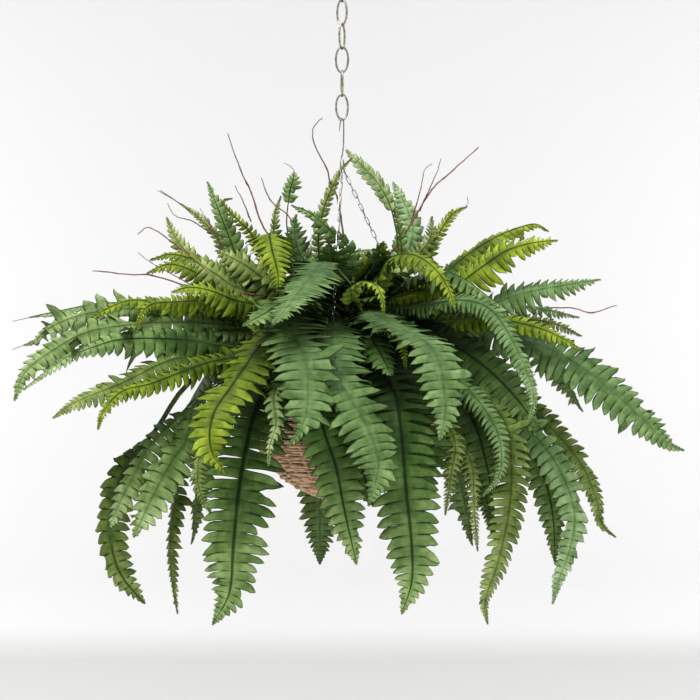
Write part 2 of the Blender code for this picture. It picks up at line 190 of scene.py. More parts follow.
class Path:
    """A line through space with a frame at every point of it."""

    def __init__(self, points: Array, across: Array | None = None) -> None:
        """Measures the line and gives it frames.

        Args:
            points: the points along it, a row for each.
            across: the sideways direction at each point; a line without one gets frames that don't twist.
        """
        self.points = points
        self.stations = stations(points)
        self.length = float(self.stations[-1])
        self.forward = unit(np.gradient(points, axis=0))
        across = self._untwisted() if across is None else across
        self.across = unit(across - self.forward * np.sum(across * self.forward, axis=1, keepdims=True))
        self.normal = np.cross(self.forward, self.across)

    def _untwisted(self) -> Array:
        """Finds sideways directions that turn no more than the line does.

        Returns:
            One direction for each point.
        """
        first = self.forward[0]
        side = np.cross(first, UP if abs(first[2]) < 0.9 else (1.0, 0.0, 0.0))
        found = [side / np.linalg.norm(side)]
        for ahead in self.forward[1:]:
            side = found[-1] - ahead * np.dot(found[-1], ahead)
            found.append(side / np.linalg.norm(side))
        return np.array(found)

    def at(self, distance: Array, side: Array, rise: Array) -> Array:
        """Finds points beside the line.

        Args:
            distance: how far along the line each point is.
            side: how far it is to the side.
            rise: how far it is off the line along the normal.

        Returns:
            The points, a row for each.
        """
        here, across, normal = (
            read(rows, self.stations, distance) for rows in (self.points, self.across, self.normal)
        )
        beyond = np.maximum(0, distance - self.length)[:, None] * self.forward[-1]
        return here + beyond + across * side[:, None] + normal * rise[:, None]


# ---- The bench: Blender's modelling operators, one piece at a time ----


def take(*pieces: Piece) -> None:
    """Selects these pieces only, so that an operator acts on nothing else, and makes the first one active.

    Args:
        pieces: the pieces in hand; without any, everything is deselected.
    """
    for thing in bpy.context.selected_objects:
        thing.select_set(False)
    for piece in pieces:
        piece.select_set(True)
    bpy.context.view_layer.objects.active = pieces[0] if pieces else None


def begin(name: str, primitive: Callable[..., object], **sizes: object) -> Piece:
    """Starts a piece from a primitive, whose place and turn move into its mesh.

    Args:
        name: what the piece is called.
        primitive: Blender's operator that adds the primitive.
        sizes: the primitive's sizes and place.

    Returns:
        The new object.
    """
    take()
    primitive(**sizes)
    bpy.ops.object.transform_apply(location=True, rotation=True, scale=True)
    bpy.context.object.name = bpy.context.object.data.name = name
    return bpy.context.object


@contextmanager
def shaping(piece: Piece, mode: str = "VERT") -> Iterator[bmesh.types.BMesh]:
    """Opens the piece in edit mode with nothing selected.

    Args:
        piece: the mesh object to shape.
        mode: what is selected in it, VERT, EDGE or FACE.

    Yields:
        The mesh being edited, in which parts are selected for the operators.
    """
    take(piece)
    bpy.ops.object.mode_set(mode="EDIT")
    bpy.ops.mesh.select_mode(type=mode)
    bpy.ops.mesh.select_all(action="DESELECT")
    yield bmesh.from_edit_mesh(piece.data)
    bpy.ops.object.mode_set(mode="OBJECT")


def modify(piece: Piece, kind: str, **settings: float) -> None:
    """Gives the piece a modifier and applies it.

    Args:
        piece: the object.
        kind: Blender's name for the modifier.
        settings: its settings.
    """
    modifier = piece.modifiers.new(kind, kind)
    for name, value in settings.items():
        setattr(modifier, name, value)
    take(piece)
    bpy.ops.object.modifier_apply(modifier=kind)


def smooth(piece: Piece, angle: float = 50) -> None:
    """Shades the piece smooth, apart from edges sharper than this many degrees."""
    take(piece)
    bpy.ops.object.shade_smooth_by_angle(angle=math.radians(angle))


def join(pieces: Sequence[Piece], name: str) -> Piece:
    """Joins the pieces into the first one.

    Args:
        pieces: the objects to join.
        name: what the result is called.

    Returns:
        The joined object.
    """
    take(*pieces)
    bpy.ops.object.join()
    pieces[0].name = pieces[0].data.name = name
    return pieces[0]


def write(rows: object, key: str, values: Array) -> None:
    """Writes an array of values into the rows of a mesh."""
    rows.foreach_set(key, values.astype(np.float32).ravel())


def coordinates(mesh: Mesh) -> Array:
    """Reads where a mesh's vertices are.

    Args:
        mesh: the mesh.

    Returns:
        The points, a row for each vertex.
    """
    found = np.zeros(len(mesh.vertices) * 3, np.float32)
    mesh.vertices.foreach_get("co", found)
    return found.reshape(-1, 3).astype(float)


def put_out(mesh: Mesh, points: Array, name: str) -> Piece:
    """Places a copy of a template's mesh with its vertices at these points.

    Args:
        mesh: the template's mesh, which stays as it is.
        points: one point for each vertex.
        name: the name of the new object and its mesh.

    Returns:
        The new object, linked to the scene.
    """
    copy = mesh.copy()
    copy.name = name
    write(copy.vertices, "co", points)
    copy.update()
    piece = bpy.data.objects.new(name, copy)
    bpy.context.scene.collection.objects.link(piece)
    return piece


def dress(piece: Piece, material: Material) -> Piece:
    """Gives the piece this finish and no other.

    Args:
        piece: the object.
        material: its finish.

    Returns:
        The same object.
    """
    piece.data.materials.clear()
    piece.data.materials.append(material)
    return piece


def hand_over(piece: Piece, slot: str, *replaced: str) -> None:
    """Finishes a piece: it rides on the root body, and stands for the CAD nodes that it replaces.

    Args:
        piece: the finished object.
        slot: the record's material slot of its finish; not used.
        replaced: the CAD nodes that it stands for.
    """
    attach(piece, ROOT)
    if replaced:
        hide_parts(*replaced)
    LOG.info("%s: %d faces", piece.name, len(piece.data.polygons))


class Rod:
    """A straight round rod of unit length, modelled once, that bends along any path."""

    def __init__(self, sides: int, steps: int) -> None:
        """Models the rod.

        Args:
            sides: the number of faces around it.
            steps: the number of lengths that it is cut into.
        """
        cylinder = bpy.ops.mesh.primitive_cylinder_add
        piece = begin("rod", cylinder, vertices=sides, radius=1, depth=1, end_fill_type="NGON")
        with shaping(piece, "EDGE") as shape:
            for edge in shape.edges:
                edge.select = abs(edge.verts[0].co.z - edge.verts[1].co.z) > 0.5
            bpy.ops.mesh.subdivide(number_cuts=steps - 1)
        self.mesh = piece.data
        found = coordinates(self.mesh)
        self.share = found[:, 2] + 0.5
        self.angle = np.arctan2(found[:, 1], found[:, 0])
        bpy.data.objects.remove(piece)

    def bend(self, name: str, path: Path, radius: Array | float) -> Piece:
        """Lays the rod along a path.

        Args:
            name: the name of the new piece.
            path: the line through its middle.
            radius: the radius at each vertex, or everywhere.

        Returns:
            The bent rod.
        """
        side, rise = np.cos(self.angle) * radius, np.sin(self.angle) * radius
        piece = put_out(self.mesh, path.at(self.share * path.length, side, rise), name)
        with shaping(piece):
            bpy.ops.mesh.select_all(action="SELECT")
            bpy.ops.mesh.normals_make_consistent(inside=False)
        smooth(piece)
        return piece


class Ring:
    """A round ring, modelled once, whose middle line is bent into any closed loop."""

    nudge = 0.002  # half the angle over which the loop's direction is measured

    def __init__(self, around: int, sides: int) -> None:
        """Models the ring.

        Args:
            around: the number of lengths around it.
            sides: the number of faces around its wire.
        """
        torus = bpy.ops.mesh.primitive_torus_add
        piece = begin(
            "ring", torus, major_segments=around, minor_segments=sides, major_radius=1, minor_radius=0.25
        )
        self.mesh = piece.data
        found = coordinates(self.mesh)
        self.turn = np.arctan2(found[:, 1], found[:, 0]) % math.tau
        self.angle = np.arctan2(found[:, 2], np.hypot(found[:, 0], found[:, 1]) - 1)
        bpy.data.objects.remove(piece)

    def bend(self, name: str, loop: Callable[[Array], Array], radius: Array | float, up: Array = UP) -> Piece:
        """Lays the ring along a loop.

        Args:
            name: the name of the new piece.
            loop: gives the point of the loop for each angle, a row for each.
            radius: the wire's radius at each vertex, or everywhere.
            up: the direction that the loop's plane faces.

        Returns:
            The bent ring.
        """
        ahead = unit(loop(self.turn + self.nudge) - loop(self.turn - self.nudge))
        outward = unit(np.cross(ahead, up))
        upward = np.cross(outward, ahead)
        points = loop(self.turn) + outward * (np.cos(self.angle) * radius)[:, None]
        points += upward * (np.sin(self.angle) * radius)[:, None]
        piece = put_out(self.mesh, points, name)
        smooth(piece)
        return piece


# ---- Finishes ----


def tint(*channels: float) -> Colour:
    """Returns the linear colour of an sRGB one given from 0 to 255."""
    shares = (channel / 255 for channel in channels)
    return tuple(share / 12.92 if share <= 0.04045 else ((share + 0.055) / 1.055) ** 2.4 for share in shares)


class Recipe:
    """A material being mixed: its node tree, and short ways to add to it."""

    def __init__(self, name: str, roughness: float, metallic: float = 0.0, specular: float = 0.5) -> None:
        """Starts a material.

        Args:
            name: what the finish is called.
            roughness: the shader's roughness where nothing varies it.
            metallic: 1 for bare metal.
            specular: the shader's specular level.
        """
        self.material = bpy.data.materials.new(name)
        self.material.use_nodes = True
        self.tree = self.material.node_tree
        self.shader = self.tree.nodes["Principled BSDF"]
        self.give(self.shader, {"Roughness": roughness, "Metallic": metallic, "Specular IOR Level": specular})

    def give(self, node: bpy.types.Node, inputs: dict[str | int, object]) -> None:
        """Links outputs to a node's sockets, or sets the sockets' values.

        Args:
            node: the node.
            inputs: an output or a value for each of its sockets that are given one.
        """
        for key, value in inputs.items():
            socket = node.inputs[key]
            if isinstance(value, Socket):
                self.tree.links.new(value, socket)
            else:
                socket.default_value = (*value, 1) if socket.type == "RGBA" else value

    def add(self, kind: str, inputs: dict[str | int, object], **settings: str) -> bpy.types.NodeOutputs:
        """Adds a node.

        Args:
            kind: Blender's name for it.
            inputs: what its sockets are given.
            settings: its other settings.

        Returns:
            The node's outputs.
        """
        node = self.tree.nodes.new(f"ShaderNode{kind}")
        for name, value in settings.items():
            setattr(node, name, value)
        self.give(node, inputs)
        return node.outputs

    def place(self) -> Socket:
        """Returns the piece's own coordinates."""
        return self.add("TexCoord", {})["Object"]

    def noise(self, scale: float, detail: float = 2.0, stretch: Point = (1, 1, 1)) -> Socket:
        """Returns noise from 0 to 1, with this many lumps to a metre, and more along a stretched axis."""
        place = self.add("Mapping", {"Vector": self.place(), "Scale": stretch})[0]
        return self.add("TexNoise", {"Vector": place, "Scale": scale, "Detail": detail})[0]

    def sums(self, operation: str, first: object, second: object = 0.0) -> Socket:
        """Returns the result of one arithmetic operation."""
        return self.add("Math", {0: first, 1: second}, operation=operation)[0]

    def product(self, *values: object) -> Socket:
        """Returns the values multiplied together."""
        return reduce(partial(self.sums, "MULTIPLY"), values)

    def ramp(self, value: object, low: float, high: float, start: float = 0.0, end: float = 1.0) -> Socket:
        """Returns the value moved smoothly from the range low to high, into the range start to end."""
        limits = {"Value": value, "From Min": low, "From Max": high, "To Min": start, "To Max": end}
        return self.add("MapRange", limits, interpolation_type="SMOOTHSTEP")[0]

    def blend(self, share: object, first: object, second: object, way: str = "MIX") -> Socket:
        """Returns the first colour with this share of the second one over it."""
        return self.add("Mix", {0: share, 6: first, 7: second}, data_type="RGBA", blend_type=way)[2]

    def finish(self, colour: object, height: Socket, depth: float, strength: float = 1.0) -> Material:
        """Gives the surface its colour and a fine relief.

        Args:
            colour: the base colour.
            height: the relief's pattern, from 0 to 1.
            depth: how deep it is.
            strength: how much of it shows.

        Returns:
            The finished material.
        """
        bump = self.add("Bump", {"Strength": strength, "Distance": depth, "Height": height})
        self.give(self.shader, {"Base Color": colour, "Normal": bump[0]})
        return self.material


@dataclass(frozen=True)
class LeafDye:
    """One colour that the leaf fabric is printed in, for one of the record's material slots, with the painted
    shade at a frond's foot and the painted light at its tip.
    """

    slot: str
    web: Colour  # the middle of the frond, beside the midrib
    blade: Colour  # the leaflets
    patch: Colour  # the blotches that run across leaflets
    edge: Colour  # the leaflets' ends
    back: Colour  # the underside
    rib: float  # how bright the midrib line is against the web: a darker printed line with painted shade of its groove
    blotch: float = 0.6  # how strong the blotches are
    foot: float = 0.5  # painted shade: how bright the frond's foot, shaded by the fronds above it, is against its middle
    tip: float = 1.05  # painted light: how bright its tip, lit from below, is


class Tone(Enum):
    """The dyes of the fronds."""

    DARK = LeafDye(
        "frond_dark", tint(54, 84, 32), tint(78, 108, 46), tint(102, 132, 66), tint(134, 160, 96),
        tint(86, 110, 62), rib=0.22, blotch=0.7, foot=0.07, tip=1.3,
    )
    GREEN = LeafDye(
        "frond_green", tint(86, 115, 72), tint(100, 128, 75), tint(118, 147, 90), tint(128, 156, 96),
        tint(106, 130, 78), rib=0.80, foot=0.8,
    )
    LIME = LeafDye(
        "frond_lime", tint(62, 82, 12), tint(100, 123, 14), tint(130, 151, 32), tint(156, 174, 54),
        tint(118, 138, 52), rib=0.26,
    )
    OLIVE = LeafDye(
        "frond_olive", tint(82, 102, 42), tint(104, 124, 56), tint(126, 146, 72), tint(144, 162, 90),
        tint(114, 132, 72), rib=0.60,
    )
    SAGE = LeafDye(
        "frond_sage", tint(102, 128, 66), tint(130, 155, 90), tint(158, 181, 120), tint(176, 196, 138),
        tint(130, 150, 98), rib=0.70,
    )
    BLUE = LeafDye(
        "frond_blue", tint(86, 116, 64), tint(102, 133, 78), tint(124, 155, 100), tint(146, 174, 118),
        tint(104, 130, 84), rib=0.70,
    )


class LeafRecipe(Recipe):
    """A leaf fabric being mixed, with the places in a leaflet, and the print and painted shade that its
    pattern reads.
    """

    def __init__(self, name: str, roughness: float, specular: float) -> None:
        """Starts the fabric.

        Args:
            name: what it is called.
            roughness: the shader's roughness.
            specular: its specular level.
        """
        super().__init__(name, roughness, specular=specular)
        layer = self.add("UVMap", {}, uv_map="Leaflet")[0]
        print_and_shade = self.add("Attribute", {}, attribute_name="Print")["Color"]
        self.out, self.across, _ = self.add("SeparateXYZ", {0: layer})
        # bright is the frond's brightness times the painted shade at its foot and the painted light at its
        # tip.
        self.along, self.own, self.bright = self.add("SeparateColor", {0: print_and_shade})
        self.from_middle = self.sums("ABSOLUTE", self.sums("SUBTRACT", self.across, 0.5))


@dataclass(frozen=True)
class LeafFabric:
    """Printed and pressed leaf fabric: blotches, veins along the leaflets, lighter ends and a dull back, with
    painted shade in the slits and at the frond's foot and painted light at its tip.
    """

    vein_count: int = 5
    pillow_depth: float = 0.0016
    mottle_scale: float = 85.0
    patch_scale: float = 24.0
    grain_scale: float = 900.0
    crease_scale: float = 150.0
    deepening: Colour = (1.25, 1.0, 1.5)  # where the brightness darkens a leaflet, painted shade included, it turns a deeper green, as light bounced between leaves does

    def front(self, tone: Tone) -> Material:
        """Mixes the printed face.

        Args:
            tone: the dye.

        Returns:
            The material of the upper side.
        """
        dye = tone.value
        recipe = LeafRecipe(f"leaf_{tone.name.lower()}", 0.62, 0.16)
        colour = recipe.blend(recipe.ramp(recipe.out, 0.08, 0.5), dye.web, dye.blade)
        patches = recipe.ramp(recipe.noise(self.patch_scale, 3), 0.42, 0.62, 0, dye.blotch)
        colour = recipe.blend(patches, colour, dye.patch)
        colour = recipe.blend(recipe.ramp(recipe.out, 0.5, 1.0, 0, 0.6), colour, dye.edge)
        # painted light: the frond turns paler towards its tip, which hangs in the light from below
        colour = recipe.blend(recipe.ramp(recipe.along, 0.45, 1.0, 0, 0.6), colour, dye.edge)
        # the midrib line: a darker print with painted shade of its groove
        rib = recipe.ramp(recipe.out, 0.02, 0.085, dye.rib, 1.0)
        # the shade holds the midrib's painted shade, the painted shade and light along the frond, and each
        # leaflet's own brightness
        shade = recipe.product(rib, recipe.bright, self._shade(recipe, 0.74, 1.24))
        return self._finished(recipe, colour, shade)

    def back(self, tone: Tone) -> Material:
        """Mixes the underside, paler and without the print's blotches.

        Args:
            tone: the dye.

        Returns:
            The material of the underside.
        """
        recipe = LeafRecipe(f"leaf_{tone.name.lower()}_back", 0.75, 0.08)
        shade = recipe.product(self._shade(recipe, 0.86, 1.12), recipe.bright)
        return self._finished(recipe, tone.value.back, shade)

    def _shade(self, recipe: LeafRecipe, low: float, high: float) -> Socket:
        """Works out the brightness of each leaflet: printed veins, middle line and mottling, and painted
        shadow in the slits between leaflets.

        Args:
            recipe: the fabric.
            low: the darkest leaflet's brightness.
            high: the brightest one's.

        Returns:
            The brightness.
        """
        leaflet = recipe.sums("SUBTRACT", recipe.ramp(recipe.own, 0, 1, low, high), 1.0)
        leaflet = recipe.sums("ADD", recipe.product(leaflet, recipe.ramp(recipe.out, 0.15, 0.5)), 1.0)
        wave = recipe.sums("SINE", recipe.product(recipe.across, math.tau * self.vein_count))
        middle = recipe.ramp(recipe.from_middle, 0.0, 0.08, 0.86, 1.0)
        # painted shadow in the slits: each leaflet is darker along its sides, from a little way out from the
        # midrib
        slit_shade = recipe.ramp(recipe.from_middle, 0.36, 0.48, 0.0, 0.85)
        slit_shade = recipe.product(slit_shade, recipe.ramp(recipe.out, 0.10, 0.42, 0.22, 1))
        mottle = recipe.ramp(recipe.noise(self.mottle_scale, 6), 0.3, 0.7, 0.72, 1.22)
        light = recipe.sums("SUBTRACT", 1.0, slit_shade)
        return recipe.product(leaflet, recipe.ramp(wave, -1, 1, 0.93, 1.05), middle, light, mottle)

    def _finished(self, recipe: LeafRecipe, colour: object, shade: Socket) -> Material:
        """Darkens the colour by its brightness, painted shade included, and presses the leaflets, their
        creases and the fabric's grain.

        Args:
            recipe: the fabric.
            colour: its colour at full brightness.
            shade: its brightness.

        Returns:
            The finished material.
        """
        channels = {place: recipe.sums("POWER", shade, power) for place, power in enumerate(self.deepening)}
        shaded = recipe.blend(1.0, colour, recipe.add("CombineColor", channels)[0], "MULTIPLY")
        pillow = recipe.ramp(recipe.from_middle, 0.1, 0.5, 0.8, 0.0)
        pillow = recipe.product(pillow, recipe.ramp(recipe.out, 0.1, 0.45, 0.25, 1))
        creases = recipe.product(recipe.noise(self.crease_scale, 4), 0.7)
        grain = recipe.product(recipe.noise(self.grain_scale, 2), 0.12)
        height = recipe.sums("ADD", recipe.sums("ADD", pillow, creases), grain)
        return recipe.finish(shaded, height, self.pillow_depth)


@dataclass(frozen=True)
class PlatedMetal:
    """Plated wire that has dulled: darker in patches, with fine scratches."""

    name: str
    bright: Colour
    dull: Colour
    roughness: float
    patch_scale: float = 260.0
    scratch_scale: float = 1400.0
    scratch_depth: float = 0.0001

    def mix(self) -> Material:
        """Mixes the plated finish.

        Returns:
            The material.
        """
        recipe = Recipe(self.name, self.roughness, metallic=1.0)
        patches = recipe.ramp(recipe.noise(self.patch_scale, 5), 0.35, 0.62)
        dulled = recipe.ramp(patches, 0, 1, self.roughness - 0.08, self.roughness + 0.15)
        recipe.give(recipe.shader, {"Roughness": dulled})
        scratches = recipe.noise(self.scratch_scale, 2, (1, 1, 0.15))
        colour = recipe.blend(patches, self.bright, self.dull)
        return recipe.finish(colour, scratches, self.scratch_depth, 0.4)


@dataclass(frozen=True)
class Bark:
    """Thin bark with long streaks along the wood."""

    name: str
    base: Colour
    streak: Colour
    stretch: Point
    grain: float = 300.0
    depth: float = 0.0005

    def mix(self) -> Material:
        """Mixes the bark.

        Returns:
            The material.
        """
        recipe = Recipe(self.name, roughness=0.75, specular=0.25)
        streaks = recipe.ramp(recipe.noise(self.grain, 5, self.stretch), 0.42, 0.66, 0, 0.85)
        colour = recipe.blend(streaks, self.base, self.streak)
        return recipe.finish(colour, recipe.noise(self.grain * 2, 4), self.depth, 0.7)


@dataclass(frozen=True)
class Granular:
    """A dull material of crumbs or fibres, such as moss, foam or moulded plastic."""

    name: str
    light: Colour
    dark: Colour
    scale: float
    depth: float
    roughness: float = 0.9

    def mix(self) -> Material:
        """Mixes the grainy finish.

        Returns:
            The material.
        """
        recipe = Recipe(self.name, self.roughness, specular=0.2)
        lumps = recipe.noise(self.scale, 6)
        colour = recipe.blend(recipe.ramp(lumps, 0.35, 0.65), self.dark, self.light)
        return recipe.finish(colour, lumps, self.depth)


class Finishes:
    """Every material of the basket, each mixed once."""

    def __init__(self) -> None:
        """Mixes them all."""
        fabric = LeafFabric()
        self.fronts = {tone: fabric.front(tone) for tone in Tone}
        self.backs = {tone: fabric.back(tone) for tone in Tone}
        self.nickel = PlatedMetal("antique_nickel", tint(200, 196, 180), tint(142, 136, 120), 0.46).mix()
        self.steel = PlatedMetal("zinc_wire", tint(206, 206, 202), tint(150, 150, 146), 0.30).mix()
        self.stem = Granular("moulded_stem", tint(74, 96, 44), tint(44, 66, 30), 220, 0.0003, 0.55).mix()
        # painted shade: the crown's plastic is near black, standing for the deep shade in the middle of the
        # bush
        self.crown = Granular("crown_plastic", tint(34, 56, 28), tint(14, 26, 12), 160, 0.001, 0.6).mix()
        self.moss = Granular("dry_moss", tint(96, 104, 52), tint(34, 40, 18), 260, 0.004).mix()
        self.foam = Granular("floral_foam", tint(52, 84, 56), tint(30, 52, 34), 700, 0.001).mix()
        self.liner = Granular("liner_film", tint(20, 20, 20), tint(10, 10, 10), 60, 0.002, 0.45).mix()
        self.twig = Bark("curly_twig", tint(136, 90, 82), tint(84, 54, 48), (1, 1, 0.4)).mix()
        self.wicker = Bark("split_twig", tint(222, 186, 150), tint(128, 92, 68), (0.2, 0.2, 1)).mix()


# ---- Fronds ----


@dataclass(frozen=True)
class LeafletCut:
    """How a frond's leaflets are cut."""

    pitch: float  # from one leaflet to the next, in the middle of the frond
    columns: tuple[float, ...]  # where the flat blade is divided, as shares of its half width
    outline: tuple[float, ...]  # the leaflet's breadth at each column, as a share of the pitch
    starts: tuple[int, ...]  # the columns at which a slit may begin, in the frond's first half
    late_starts: tuple[int, ...]  # the same in its outer half, where the leaflets hold together further out
    sweep: float  # how far a leaflet's end lies ahead of its root, as a share of the half width
    taper: float = 4.6  # how late the frond narrows towards its tip


BROAD_COLUMNS = (0, 0.06, 0.20, 0.36, 0.52, 0.68, 0.81, 0.91, 0.97, 1.0)


class Cut(Enum):
    """The six cuts of frond in the basket."""

    BROAD = LeafletCut(
        0.0116, BROAD_COLUMNS, (1, 1, 1, 1, 1, 1, 0.90, 0.50, 0.20, 0.03), (3, 4, 4, 4, 5),
        (4, 4, 5, 5), 0.02, 6.2,
    )
    COMB = LeafletCut(
        0.0066, BROAD_COLUMNS, (1, 1, 1, 1, 1, 1, 0.88, 0.50, 0.22, 0.03), (2, 3, 3, 4), (3, 4, 4, 5), 0.10
    )
    DEEP = LeafletCut(
        0.0122, BROAD_COLUMNS, (1, 1, 0.94, 0.94, 0.97, 1, 0.90, 0.55, 0.24, 0.03), (1, 1, 2, 2, 3),
        (3, 4, 4, 5), 0.05, 6.2,
    )
    MIDDLE = LeafletCut(
        0.0092, (0, 0.06, 0.22, 0.46, 0.66, 0.82, 0.93, 1.0), (1, 1, 0.98, 0.98, 0.96, 0.82, 0.50, 0.05),
        (1, 1, 2, 2, 3), (2, 2, 3, 3), 0.12,
    )
    LENS = LeafletCut(
        0.0096, (0, 0.05, 0.13, 0.30, 0.50, 0.70, 0.87, 1.0), (1, 1, 0.90, 0.95, 1.0, 0.86, 0.50, 0.05),
        (1, 2, 2, 3), (3, 3, 4), 0.14,
    )
    FINE = LeafletCut(
        0.0068, (0, 0.07, 0.30, 0.60, 0.84, 1.0), (1, 1, 0.86, 0.92, 0.58, 0.06), (1, 1, 2), (1, 2), 0.16
    )


@dataclass(frozen=True)
class FrondPlan:
    """One frond: how it leaves the crown, the points that it passes, and which way it faces."""

    name: str
    tone: Tone
    cut: Cut
    azimuth: float  # where its stem points as it leaves the crown
    lift: float  # the elevation of its stem there
    width: float  # the blade's whole width
    face: tuple[float, float]  # the azimuth and elevation that its upper side turns to
    route: Route  # the points (x, y, height) that it passes after the crown, with its tip last
    gap: float = 0.06  # the share of the pitch that is left open between leaflets
    limp: float = 1.0  # how far its leaflets fold and droop, against the usual
    bare_stem: float = 0.13  # the share of its line that is bare stem
    bare_tip: float = 0.0  # the share of its line that is bare wire at the tip
    bright: float = 1.0  # how bright its print is against the usual, set frond by frond: partly the dye's own paleness, partly painted light and shade, darker deep in the bush
    pale_foot: bool = False  # whether its foot is left without the painted shade, as bright as its middle
    ragged: float = 1.0  # how unruly its leaflets are, against the usual
    stout: float = 1.0  # how thick its stem is, against the usual
    drawn: bool = True  # whether the frame has a node of this name

    def midline(self, setting: Setting) -> Path:
        """Draws the frond's line, one smooth curve from the crown to the tip.

        Args:
            setting: where the crown and the rim are.

        Returns:
            The line, with the blade's sideways direction at each point.
        """
        points = evenly(rounded(setting.stem(self.azimuth, self.lift, self.route)), LINE_POINTS)
        forward = unit(np.gradient(points, axis=0))
        facing = np.array(direction(*self.face))
        return Path(points, np.cross(facing - forward * (forward @ facing)[:, None], forward))


class Blade:
    """A flat frond blade with slits between its leaflets, modelled once for each count of leaflets."""

    outer_from = 0.45  # the share of its length beyond which the late starts are used
    tip_from = 0.86  # the share beyond which a slit begins in one of the last columns
    tip_columns = 3

    def __init__(self, cut: Cut, leaflets: int, variant: int) -> None:
        """Models the blade.

        Args:
            cut: how the leaflets are cut.
            leaflets: how many there are along each side.
            variant: which of several drawings of the slits this is.
        """
        self.cut = cut.value
        self.leaflets = leaflets
        columns = len(self.cut.columns) - 1
        grid = bpy.ops.mesh.primitive_grid_add
        piece = begin("blade", grid, x_subdivisions=2 * columns, y_subdivisions=2 * leaflets, size=2)
        self._cut_slits(piece, columns, draws(f"slits {cut.name} {leaflets} {variant}"))
        self.mesh = piece.data
        self._number_parts(columns)
        bpy.data.objects.remove(piece)

    def _cut_slits(self, piece: Piece, columns: int, rng: np.random.Generator) -> None:
        """Splits the grid along the line between each leaflet and the next, from a column outwards.

        Args:
            piece: the grid.
            columns: the number of columns on each side.
            rng: draws the column at which each slit begins.
        """
        lines = np.arange(self.leaflets + 1)
        starts = rng.choice(self.cut.starts, size=(2, len(lines)))
        outer = lines > self.leaflets * self.outer_from
        starts[:, outer] = rng.choice(self.cut.late_starts, size=(2, int(outer.sum())))
        late = lines > self.leaflets * self.tip_from
        starts[:, late] = np.maximum(starts[:, late], columns - self.tip_columns)
        with shaping(piece, "EDGE") as shape:
            for edge in shape.edges:
                middle = (edge.verts[0].co + edge.verts[1].co) / 2
                line = (middle.y + 1) * self.leaflets / 2
                level = abs(edge.verts[0].co.y - edge.verts[1].co.y) < 1e-6
                if level and abs(line - round(line)) <= 0.1 and not edge.is_boundary:
                    edge.select = bool(abs(middle.x) * columns > starts[int(middle.x > 0), round(line)])
            bpy.ops.mesh.edge_split(type="EDGE")

    def _number_parts(self, columns: int) -> None:
        """Notes each vertex's row, column and leaflet, and each corner's place in its leaflet.

        Args:
            columns: the number of columns on each side.
        """
        found = coordinates(self.mesh)
        self.column = np.rint(np.abs(found[:, 0]) * columns).astype(int)
        self.side = np.sign(np.rint(found[:, 0] * columns))
        self.row = np.rint((found[:, 1] + 1) * self.leaflets)
        self.corners = corners = np.zeros(len(self.mesh.loops), np.int32)
        self.mesh.loops.foreach_get("vertex_index", corners)
        # Every face has four corners, which follow one another.
        middle = np.repeat(self.row[corners].reshape(-1, 4).mean(axis=1), 4)
        near = np.bincount(corners, middle) / np.bincount(corners)
        on_line = np.abs(self.row / 2 - np.rint(self.row / 2)) < 0.1
        self.shared = on_line & (np.abs(near - self.row) < 0.2)
        self.leaflet = np.where(self.shared, (self.row - 1) / 2, np.floor(near / 2))
        self.corner_leaflet = np.floor(middle / 2).astype(int)
        self.corner_side = (np.repeat(found[corners, 0].reshape(-1, 4).sum(axis=1), 4) > 0).astype(int)
        self.corner_across = self.row[corners] - 2 * self.corner_leaflet - 1


shared_blade = cache(Blade)  # fronds with the same cut and as many leaflets share a flat blade


